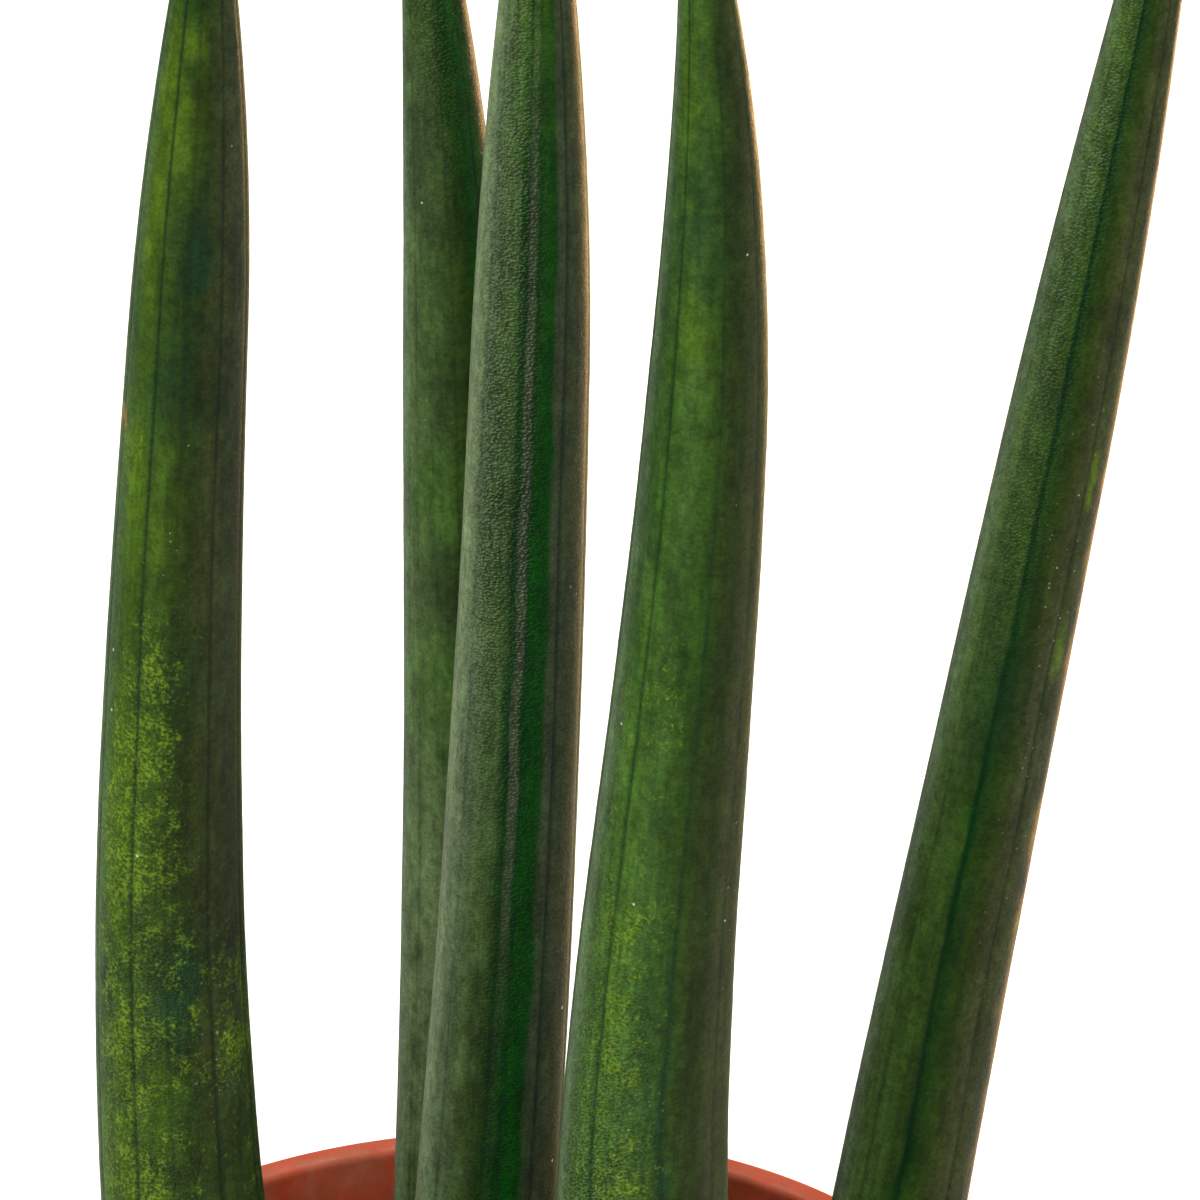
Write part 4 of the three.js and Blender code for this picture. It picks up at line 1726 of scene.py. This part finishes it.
@dataclass(frozen=True)
class Sheath:
    """The dry, papery sheath round a leaf's foot, carried on its leaf's spine. Millimetres."""

    leaf: str
    node: str
    facing: float
    seed: int
    half_span: float = 72.0
    rise: float = 11.5
    edge_rise: float = 1.2
    least_rise: float = 0.3
    tear: float = 0.7
    depth: float = 3.6
    gap: float = 0.25
    thickness: float = 0.32
    rib: float = 0.06
    rib_rate: float = 46.0
    flare: float = 0.12
    columns: int = 72
    rows: int = 26

    def build(self, finish: bpy.types.Material) -> bpy.types.Object:
        """Makes the sheath.

        Formula: the outer face lies at the leaf's girth plus a gap and the thickness, over the
        sheath's span and up to an arch that falls to both edges with a torn outline. Its long
        ribs stand out as a fast cosine of the angle, and it stands off a little further towards
        its top. The inner face is the same, one thickness in, and the two meet round all four
        edges.

        Args:
            finish: the material.

        Returns:
            The finished piece.
        """
        spine = Spine.of_node(self.leaf)
        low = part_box(self.leaf)[0][2]
        ground = float(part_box(self.node)[0][2]) + self.depth * MM
        share = np.linspace(-1.0, 1.0, self.columns)
        up = np.linspace(0.0, 1.0, self.rows)[:, None]
        torn = Ripples(0.16, self.seed, 10).at(np.column_stack((share, share * 0, share * 0)))
        high = self.edge_rise + (self.rise - self.edge_rise) * (1.0 - share**2)
        high = high + self.tear * torn - self.tear
        rise = -self.depth + (np.maximum(high, self.least_rise) + self.depth) * up
        station = (ground - float(low)) + rise * MM
        centre, girth, along, over = spine.at(station.ravel())
        shape = station.shape
        turn = np.radians(self.facing + share * self.half_span)[None] + 0.0 * up
        outward = (
            np.cos(turn).ravel()[:, None] * along + np.sin(turn).ravel()[:, None] * over
        ).reshape(shape + (3,))
        risen = up + 0.0 * turn
        unrolled = np.stack((turn, risen, 0.0 * turn), axis=-1)
        sway = 1.5 * Ripples(0.5, self.seed + 1).at(unrolled)
        ribs = self.rib * np.cos(self.rib_rate * turn + sway)
        loose = 0.5 + 0.5 * Ripples(0.35, self.seed + 2).at(unrolled)
        flare = self.flare * up**2 * loose
        thin = self.thickness * (1.0 - 0.45 * up)
        inner = girth.reshape(shape) + (self.gap + flare + ribs * 0.5) * MM
        outer = inner + (thin + ribs * 0.5) * MM
        middle = centre.reshape(shape + (3,))
        front = middle + outer[..., None] * outward
        back = middle + inner[..., None] * outward
        ring = np.concatenate((front, back[:, ::-1]), axis=1)
        sheet = Sheet(ring)
        sheet.capped = False
        piece = mesh_object(
            f"{self.node}_paper", sheet.filled(sheet.points), sheet.faces() + self.lids()
        )
        edge = np.concatenate((risen, risen[:, ::-1]), axis=1)
        paint(piece, "edge", sheet.filled(edge))
        dress(piece, finish)
        return stand_in(piece, "sheath", self.node)

    def lids(self) -> list[tuple[int, ...]]:
        """The narrow faces that close the sheath's foot and its torn top.

        Returns:
            Vertex numbers of each face.
        """
        n = self.columns
        last = (self.rows - 1) * 2 * n
        foot = [(i + 1, i, 2 * n - 1 - i, 2 * n - 2 - i) for i in range(n - 1)]
        top = [tuple(last + v for v in reversed(face)) for face in foot]
        return foot + top


@dataclass(frozen=True)
class SheathFinish:
    """Dry tan paper with brown fibres, darkest at its torn edge."""

    paper: Colour = linear(186, 160, 116)
    fibre: Colour = linear(122, 90, 56)
    torn: Colour = linear(84, 58, 38)
    cloud_size: float = 4.0 * MM
    fibre_size: float = 0.5 * MM
    fibre_depth: float = 0.06 * MM

    def build(self, effects: Effects) -> bpy.types.Material:
        """Makes the material.

        Args:
            effects: the shared effects.

        Returns:
            The material.
        """
        wiring = Coat("sheath_paper", specular=0.3)
        place = wiring.place()
        streaks = wiring.use(effects[Effect.STREAKS], Place=place, Size=self.fibre_size)
        streak = streaks.outputs["Streak"]
        cloud = wiring.noise(place, self.cloud_size, 4.0, 0.65)
        colour = wiring.blend(streak, self.paper, self.fibre)
        colour = wiring.blend(wiring.between(cloud, 0.5, 0.75, 0.0, 0.6), colour, self.torn)
        colour = wiring.blend(wiring.between(wiring.mark("edge"), 0.82, 1.0), colour, self.torn)
        rough = wiring.between(streak, 0.0, 1.0, 0.7, 0.9)
        return wiring.finish(colour, rough, wiring.bump(streak, self.fibre_depth))


@dataclass(frozen=True)
class RhizomeFinish:
    """Fleshy, straw-coloured rhizome, browner in places and dusted with soil."""

    flesh: Colour = linear(206, 168, 112)
    ring: Colour = linear(150, 98, 56)
    soil: Colour = linear(96, 66, 44)
    soil_size: float = 3.0 * MM
    cloud_size: float = 5.0 * MM
    cloud_depth: float = 0.3 * MM

    def build(self, effects: Effects) -> bpy.types.Material:
        """Makes the material.

        Args:
            effects: the shared effects.

        Returns:
            The material.
        """
        wiring = Coat("rhizome", specular=0.4)
        place = wiring.place()
        cloud = wiring.noise(place, self.cloud_size, 4.0, 0.6)
        film = wiring.use(effects[Effect.FILM], Place=place, Size=self.soil_size, Amount=0.7)
        colour = wiring.blend(wiring.between(cloud, 0.4, 0.7), self.flesh, self.ring)
        colour = wiring.blend(film.outputs["Film"], colour, self.soil)
        rough = wiring.between(cloud, 0.3, 0.7, 0.5, 0.75)
        return wiring.finish(colour, rough, wiring.bump(cloud, self.cloud_depth))


# ---- Studio -------------------------------------------------------------------------------------


@dataclass(frozen=True)
class Lamp:
    """A square soft light aimed at a point. Metres and watts."""

    name: str
    place: tuple[float, float, float]
    aim: tuple[float, float, float]
    size: float
    power: float
    colour: Colour = (1.0, 1.0, 1.0)

    def build(self) -> None:
        """Hangs the light."""
        data = bpy.data.lights.new(self.name, "AREA")
        data.size = self.size
        data.energy = self.power
        data.color = self.colour
        lamp = bpy.data.objects.new(self.name, data)
        lamp.location = self.place
        towards = Vector(self.aim) - Vector(self.place)
        lamp.rotation_euler = towards.to_track_quat("-Z", "Y").to_euler()
        lamp.visible_camera = False
        bpy.context.collection.objects.link(lamp)


@dataclass(frozen=True)
class Studio:
    """A plain pale floor, soft lights and the camera. Metres."""

    floor_size: float = 12.0
    floor_rough: float = 0.9
    speckle: float = 4.0 * MM
    shade: Colour = (0.9, 0.9, 0.9)
    paper: Colour = (0.93, 0.93, 0.93)
    world_strength: float = 0.14
    lamps: tuple[Lamp, ...] = (
        Lamp("ceiling", (0.0, 0.0, 1.9), (0.0, 0.0, 0.0), 3.2, 34.0),
        Lamp("key", (-1.56, -2.40, 1.46), (0.0, 0.0, 0.17), 2.7, 66.0),
        Lamp("fill", (2.25, -0.45, 0.56), (0.0, 0.0, 0.17), 1.8, 30.0),
        Lamp("backdrop", (0.01, 0.5, 1.0), (0.01, 0.5, 0.0), 0.9, 9.0),
        Lamp("rim", (0.38, 0.58, 0.06), (0.0, 0.0, 0.17), 0.2, 7.5, (1.0, 0.55, 0.22)),
    )
    camera_place: tuple[float, float, float] = (0.01075, -0.68938, 0.50958)
    camera_tilt: float = 65.0
    camera_lens: float = 218.4

    def build(self) -> None:
        """Lays the floor and hangs the lights, in pale surroundings, and sets the camera."""
        half = self.floor_size / 2.0
        flat = [(-half, -half), (half, -half), (half, half), (-half, half)]
        corners = np.array([(x, y, 0.0) for x, y in flat])
        floor = mesh_object("floor", corners, [(0, 1, 2, 3)])
        wiring = Coat("floor", specular=0.2)
        speckle = wiring.noise(wiring.place(), self.speckle)
        paper = wiring.blend(speckle, self.shade, self.paper)
        dress(floor, wiring.finish(paper, self.floor_rough))
        for lamp in self.lamps:
            lamp.build()
        world = bpy.data.worlds.new("studio")
        world.use_nodes = True
        sky = world.node_tree.nodes["Background"].inputs
        sky["Color"].default_value = (1.0, 1.0, 1.0, 1.0)
        sky["Strength"].default_value = self.world_strength
        bpy.context.scene.world = world
        bpy.context.scene.view_settings.view_transform = "Standard"
        self.set_camera()

    def set_camera(self) -> None:
        """Stands the camera in its place, tilted up from straight down."""
        data = bpy.data.cameras.new("camera")
        data.lens = self.camera_lens
        data.clip_start = 0.01
        camera = bpy.data.objects.new("camera", data)
        camera.location = self.camera_place
        camera.rotation_euler = (np.radians(self.camera_tilt), 0.0, 0.0)
        bpy.context.collection.objects.link(camera)
        bpy.context.scene.camera = camera


# ---- The plant ----------------------------------------------------------------------------------

# Each leaf's ring is pale towards its left side, which is painted highlight, and grey towards its
# right, which is partly painted sheen.
LEAVES = (
    Leaf(
        "leaf_left",
        grooves=((-29.0, 1.0), (0.0, 0.35), (35.0, 0.8), (75.0, 0.7), (118.0, 1.0), (160.0, 0.6),
                 (-160.0, 0.9), (-118.0, 0.8), (-72.0, 0.6)),
        ring=((-66.0, Tone.MOSS), (-45.0, Tone.FRESH), (-20.0, Tone.LEAF), (0.0, Tone.OLIVE),
              (14.0, Tone.BRONZE), (28.0, Tone.DUSK), (60.0, Tone.SLATE), (110.0, Tone.LEAF),
              (150.0, Tone.OLIVE), (190.0, Tone.FRESH), (235.0, Tone.BRONZE), (265.0, Tone.MOSS)),
        patches=(
            (Tone.LIME, Spot(-26.0, 26.0, 254.0, 9.0, 0.5)),
            (Tone.LIME, Spot(-40.0, 16.0, 236.0, 7.0, 0.35)),
            (Tone.LIME, Spot(-50.0, 20.0, 214.0, 9.0, 0.35)),
            (Tone.PINE, Spot(-60.0, 16.0, 228.0, 6.0, 0.5)),
            (Tone.LIME, Spot(-14.0, 14.0, 206.0, 9.0, 0.3)),
            (Tone.TEAL, Spot(-14.0, 60.0, 222.0, 6.0, 0.55)),
            (Tone.TEAL, Spot(8.0, 20.0, 236.0, 7.0, 0.8)),
            (Tone.PINE, Spot(-20.0, 60.0, 264.0, 4.0, 0.7)),
            (Tone.LIME, Spot(-44.0, 30.0, 112.0, 26.0, 0.5)),
            (Tone.BRONZE, Spot(-14.0, 44.0, 132.0, 30.0, 0.75)),
            (Tone.FRESH, Spot(-46.0, 24.0, 128.0, 34.0, 0.6)),
            (Tone.LEAF, Spot(22.0, 44.0, 116.0, 22.0, 0.7)),
            (Tone.TEAL, Spot(-5.0, 36.0, 188.0, 6.0, 0.4)),
            (Tone.TEAL, Spot(10.0, 24.0, 152.0, 6.0, 0.8)),
            (Tone.TEAL, Spot(-24.0, 40.0, 140.0, 3.0, 0.6)),
            (Tone.TEAL, Spot(18.0, 12.0, 127.0, 4.0, 0.7)),
            (Tone.LEAF, Spot(66.0, 24.0, 116.0, 24.0, 0.7)),
            (Tone.FRESH, Spot(-10.0, 16.0, 139.0, 6.0, 0.8)),
            (Tone.FRESH, Spot(-12.0, 16.0, 123.0, 5.0, 0.6)),
            (Tone.LIME, Spot(-52.0, 22.0, 106.0, 11.0, 0.5)),
            (Tone.TEAL, Spot(-52.0, 14.0, 152.0, 5.0, 0.7)),
            (Tone.BRONZE, Spot(18.0, 24.0, 172.0, 9.0, 0.6)),
            (Tone.TAN, Spot(-73.0, 10.0, 216.0, 1.3, 1.0)),
        ),
        grain=(
            Spot(-18.0, 34.0, 187.0, 11.0, 0.8),
            Spot(-36.0, 42.0, 168.0, 16.0, 0.9),
            Spot(-40.0, 34.0, 138.0, 30.0, 0.7),
            Spot(-10.0, 30.0, 128.0, 16.0, 0.5),
            Spot(-50.0, 26.0, 215.0, 14.0, 0.4),
            Spot(18.0, 46.0, 136.0, 26.0, 0.4),
            Spot(54.0, 26.0, 138.0, 26.0, 0.28),
            Spot(10.0, 24.0, 162.0, 10.0, 0.4),
            Spot(160.0, 70.0, 200.0, 16.0, 0.8),
            Spot(120.0, 60.0, 140.0, 18.0, 0.8),
        ),
        pebbles_and_glints=(Spot(-30.0, 50.0, 140.0, 40.0, 0.22),),
        dusty=(Spot(-12.0, 14.0, 204.0, 5.0, 0.8), Spot(40.0, 30.0, 145.0, 12.0, 0.5)),
        seed=3,
    ),
    Leaf(
        "leaf_back",
        grooves=((-46.0, 0.4), (0.0, 0.4), (40.0, 0.6), (85.0, 0.6), (132.0, 0.8), (176.0, 0.6),
                 (-134.0, 0.8), (-90.0, 0.6)),
        ring=((-70.0, Tone.SILVER), (-50.0, Tone.FERN), (-22.0, Tone.MOSS), (12.0, Tone.OLIVE),
              (28.0, Tone.DEEP), (50.0, Tone.PINE), (75.0, Tone.SLATE), (120.0, Tone.LEAF),
              (160.0, Tone.PINE), (210.0, Tone.MOSS), (250.0, Tone.OLIVE)),
        patches=(
            (Tone.LEAF, Spot(-30.0, 50.0, 252.0, 24.0, 0.9)),
            (Tone.SLATE, Spot(-40.0, 40.0, 226.0, 12.0, 0.5)),
            (Tone.SPRING, Spot(-30.0, 50.0, 187.0, 5.0, 0.5)),
            (Tone.SPRING, Spot(-30.0, 50.0, 164.0, 8.0, 0.5)),
            (Tone.SLATE, Spot(-20.0, 50.0, 176.0, 4.0, 0.55)),
            (Tone.SAGE, Spot(-35.0, 30.0, 134.0, 26.0, 0.5)),
            (Tone.DEEP, Spot(12.0, 12.0, 240.0, 22.0, 0.8)),
        ),
        grain=(
            Spot(-10.0, 30.0, 255.0, 9.0, 0.35),
            Spot(-30.0, 40.0, 200.0, 12.0, 0.25),
            Spot(170.0, 70.0, 190.0, 18.0, 0.8),
        ),
        pebbles_and_glints=(Spot(-10.0, 50.0, 258.0, 30.0, 0.45),),
        dusty=(Spot(-30.0, 14.0, 196.0, 3.0, 0.5),),
        seed=7,
    ),
    Leaf(
        "leaf_centre",
        grooves=((-47.0, 0.35), (-6.5, 0.6), (6.5, 0.45), (37.0, 0.9), (80.0, 0.8), (122.0, 0.7),
                 (166.0, 0.9), (-146.0, 0.8), (-100.0, 0.7)),
        ring=((-70.0, Tone.SAGE), (-46.0, Tone.SILVER), (-28.0, Tone.FERN), (-16.0, Tone.MOSS),
              (-11.0, Tone.PINE), (-6.0, Tone.DEEP), (-3.5, Tone.UMBER), (2.5, Tone.UMBER),
              (5.0, Tone.DEEP), (23.0, Tone.DEEP), (27.0, Tone.SLATE), (38.0, Tone.SLATE),
              (64.0, Tone.DUSK), (100.0, Tone.MOSS), (140.0, Tone.PINE), (180.0, Tone.FRESH),
              (225.0, Tone.OLIVE), (260.0, Tone.MOSS)),
        patches=(
            (Tone.LEAF, Spot(4.0, 22.0, 262.0, 26.0, 0.9)),
            (Tone.SPRING, Spot(-22.0, 26.0, 256.0, 16.0, 0.8)),
            (Tone.LIME, Spot(-16.0, 20.0, 252.0, 6.0, 0.35)),
            (Tone.PINE, Spot(8.0, 10.0, 226.0, 22.0, 0.6)),
            (Tone.BRONZE, Spot(-14.0, 14.0, 126.0, 30.0, 0.8)),
            (Tone.DEEP, Spot(7.0, 19.0, 124.0, 34.0, 1.0)),
            (Tone.PINE, Spot(-18.0, 10.0, 190.0, 30.0, 0.6)),
            (Tone.OLIVE, Spot(-28.0, 22.0, 128.0, 24.0, 0.5)),
            (Tone.LEAF, Spot(-34.0, 14.0, 200.0, 22.0, 0.4)),
        ),
        grain=(
            Spot(-24.0, 34.0, 254.0, 12.0, 0.4),
            Spot(170.0, 60.0, 190.0, 20.0, 0.8),
        ),
        pebbles_and_glints=(
            Spot(-34.0, 22.0, 198.0, 36.0, 1.0),
            Spot(-26.0, 26.0, 234.0, 26.0, 0.7),
            Spot(0.0, 4.5, 195.0, 34.0, 0.9),
            Spot(0.0, 60.0, 160.0, 60.0, 0.12),
        ),
        dusty=(Spot(52.0, 14.0, 188.0, 8.0, 0.7), Spot(40.0, 10.0, 262.0, 6.0, 0.5)),
        seed=12,
    ),
    Leaf(
        "leaf_front",
        grooves=((-39.0, 0.9), (12.0, 0.5), (55.0, 0.5), (100.0, 0.8), (146.0, 0.7), (-170.0, 0.9),
                 (-126.0, 0.8), (-84.0, 0.7)),
        ring=((-72.0, Tone.SILVER), (-58.0, Tone.MOSS), (-40.0, Tone.SPRING), (-18.0, Tone.IVY),
              (4.0, Tone.LEAF), (24.0, Tone.BRONZE), (34.0, Tone.BRONZE), (48.0, Tone.DUSK),
              (66.0, Tone.DUSK), (110.0, Tone.MOSS), (150.0, Tone.OLIVE), (190.0, Tone.MOSS),
              (230.0, Tone.FRESH), (265.0, Tone.LEAF)),
        patches=(
            (Tone.PINE, Spot(-50.0, 44.0, 222.0, 40.0, 0.6)),
            (Tone.TEAL, Spot(-20.0, 50.0, 243.0, 8.0, 0.5)),
            (Tone.LIME, Spot(-20.0, 18.0, 232.0, 6.0, 0.4)),
            (Tone.FRESH, Spot(-36.0, 24.0, 258.0, 8.0, 0.8)),
            (Tone.SPRING, Spot(-30.0, 34.0, 154.0, 28.0, 0.4)),
            (Tone.TEAL, Spot(-24.0, 30.0, 137.0, 6.0, 0.6)),
            (Tone.TEAL, Spot(-6.0, 16.0, 152.0, 22.0, 0.5)),
            (Tone.SPRING, Spot(-34.0, 36.0, 118.0, 18.0, 0.8)),
            (Tone.PINE, Spot(4.0, 18.0, 196.0, 14.0, 0.5)),
            (Tone.TEAL, Spot(10.0, 4.0, 138.0, 30.0, 0.8)),
        ),
        grain=(
            Spot(-28.0, 34.0, 154.0, 14.0, 0.6),
            Spot(-24.0, 44.0, 182.0, 20.0, 0.47),
            Spot(-30.0, 42.0, 120.0, 18.0, 0.8),
            Spot(0.0, 30.0, 120.0, 16.0, 0.4),
            Spot(150.0, 60.0, 170.0, 20.0, 0.8),
        ),
        pebbles_and_glints=(Spot(-40.0, 34.0, 124.0, 34.0, 0.75),),
        dusty=(Spot(60.0, 14.0, 175.0, 20.0, 0.4), Spot(-10.0, 24.0, 140.0, 10.0, 0.35)),
        seed=18,
    ),
    Leaf(
        "leaf_right",
        grooves=((-44.0, 0.4), (-11.0, 0.8), (36.0, 0.7), (80.0, 0.7), (124.0, 0.8), (168.0, 0.6),
                 (-148.0, 0.8), (-96.0, 0.7)),
        ring=((-70.0, Tone.SILVER), (-52.0, Tone.FERN), (-34.0, Tone.MOSS), (-22.0, Tone.LEAF),
              (-14.0, Tone.LEAF), (-12.0, Tone.DEEP), (-9.0, Tone.DEEP), (-6.0, Tone.PINE),
              (10.0, Tone.OLIVE), (26.0, Tone.DUSK), (44.0, Tone.DUSK), (66.0, Tone.SLATE),
              (105.0, Tone.PINE), (150.0, Tone.MOSS), (190.0, Tone.LEAF), (230.0, Tone.FRESH),
              (262.0, Tone.OLIVE)),
        patches=(
            (Tone.FRESH, Spot(-40.0, 16.0, 252.0, 12.0, 0.7)),
            (Tone.LEAF, Spot(-28.0, 20.0, 196.0, 18.0, 0.7)),
            (Tone.TEAL, Spot(-16.0, 26.0, 174.0, 9.0, 0.55)),
            (Tone.LEAF, Spot(-40.0, 26.0, 146.0, 30.0, 0.7)),
            (Tone.DEEP, Spot(-11.0, 4.0, 140.0, 46.0, 0.9)),
            (Tone.BRONZE, Spot(-16.0, 10.0, 136.0, 12.0, 0.6)),
            (Tone.LIME, Spot(46.0, 8.0, 200.0, 4.0, 0.7)),
            (Tone.LIME, Spot(48.0, 8.0, 182.0, 3.5, 0.5)),
            (Tone.UMBER, Spot(34.0, 24.0, 174.0, 8.0, 0.3)),
            # Painted warm rim light: a tan stripe along the right leaf's right edge.
            (Tone.TAN, Spot(77.0, 12.0, 178.0, 90.0, 0.85)),
        ),
        grain=(
            Spot(-34.0, 22.0, 250.0, 14.0, 0.5),
            Spot(170.0, 60.0, 190.0, 18.0, 0.8),
        ),
        pebbles_and_glints=(Spot(-36.0, 26.0, 232.0, 28.0, 0.6), Spot(-30.0, 26.0, 196.0, 16.0, 0.3)),
        dusty=(Spot(26.0, 20.0, 194.0, 14.0, 0.9), Spot(34.0, 16.0, 160.0, 14.0, 0.6)),
        seed=25,
    ),
)

SHEATHS = (
    Sheath("leaf_left", "sheath_left", 60.0, 31),
    Sheath("leaf_back", "sheath_back", -120.0, 37),
    Sheath("leaf_centre", "sheath_centre", -60.0, 41),
    Sheath("leaf_front", "sheath_front", 110.0, 43),
    Sheath("leaf_right", "sheath_right", 170.0, 47),
)


def leaf_footprints() -> list[Footprint]:
    """Where the leaves stand on the mix.

    Returns:
        A round place for each leaf, a little larger than the leaf.
    """
    found = []
    for leaf in LEAVES:
        spine = Spine.of_node(leaf.name)
        station = SOIL_LEVEL - spine.centres[0][2]
        centre, girth, _, _ = spine.at(np.array((station, station + MM)))
        x, y, _ = centre[0].tolist()
        found.append(Footprint(x, y, float(girth[0]) + 0.6 * MM))
    return found


def build_plant(effects: Effects) -> None:
    """Makes every piece of the plant and its pot.

    Args:
        effects: the shared effects.
    """
    skin = LeafFinish().build(effects)
    for leaf in LEAVES:
        leaf.build(skin)
    paper = SheathFinish().build(effects)
    for sheath in SHEATHS:
        sheath.build(paper)
    Pot().build(PotFinish().build(effects))
    soil = MixFinish().build(effects)
    fibre = FibreFinish().build(effects)
    PottingMix().build(leaf_footprints(), soil, fibre)
    foam = PerliteFinish().build(effects)
    bark = BarkFinish().build(effects)
    for i, node in enumerate(sorted(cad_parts)):
        if node.startswith("perlite_grain"):
            Litter(node, "perlite", 1.1, 0.35, 50 + i).build(foam)
        elif node.startswith("bark_chip"):
            Litter(node, "bark", 1.6, 0.4, 50 + i, (0.5, 1.0, 2.0)).build(bark)
    dress(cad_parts["rhizome"], RhizomeFinish().build(effects))


def main() -> None:
    """Builds the studio and the plant."""
    Studio().build()
    build_plant(Effects())


if __name__ == "__main__":
    logging.basicConfig(level=logging.INFO, format="%(name)s: %(message)s")
    main()
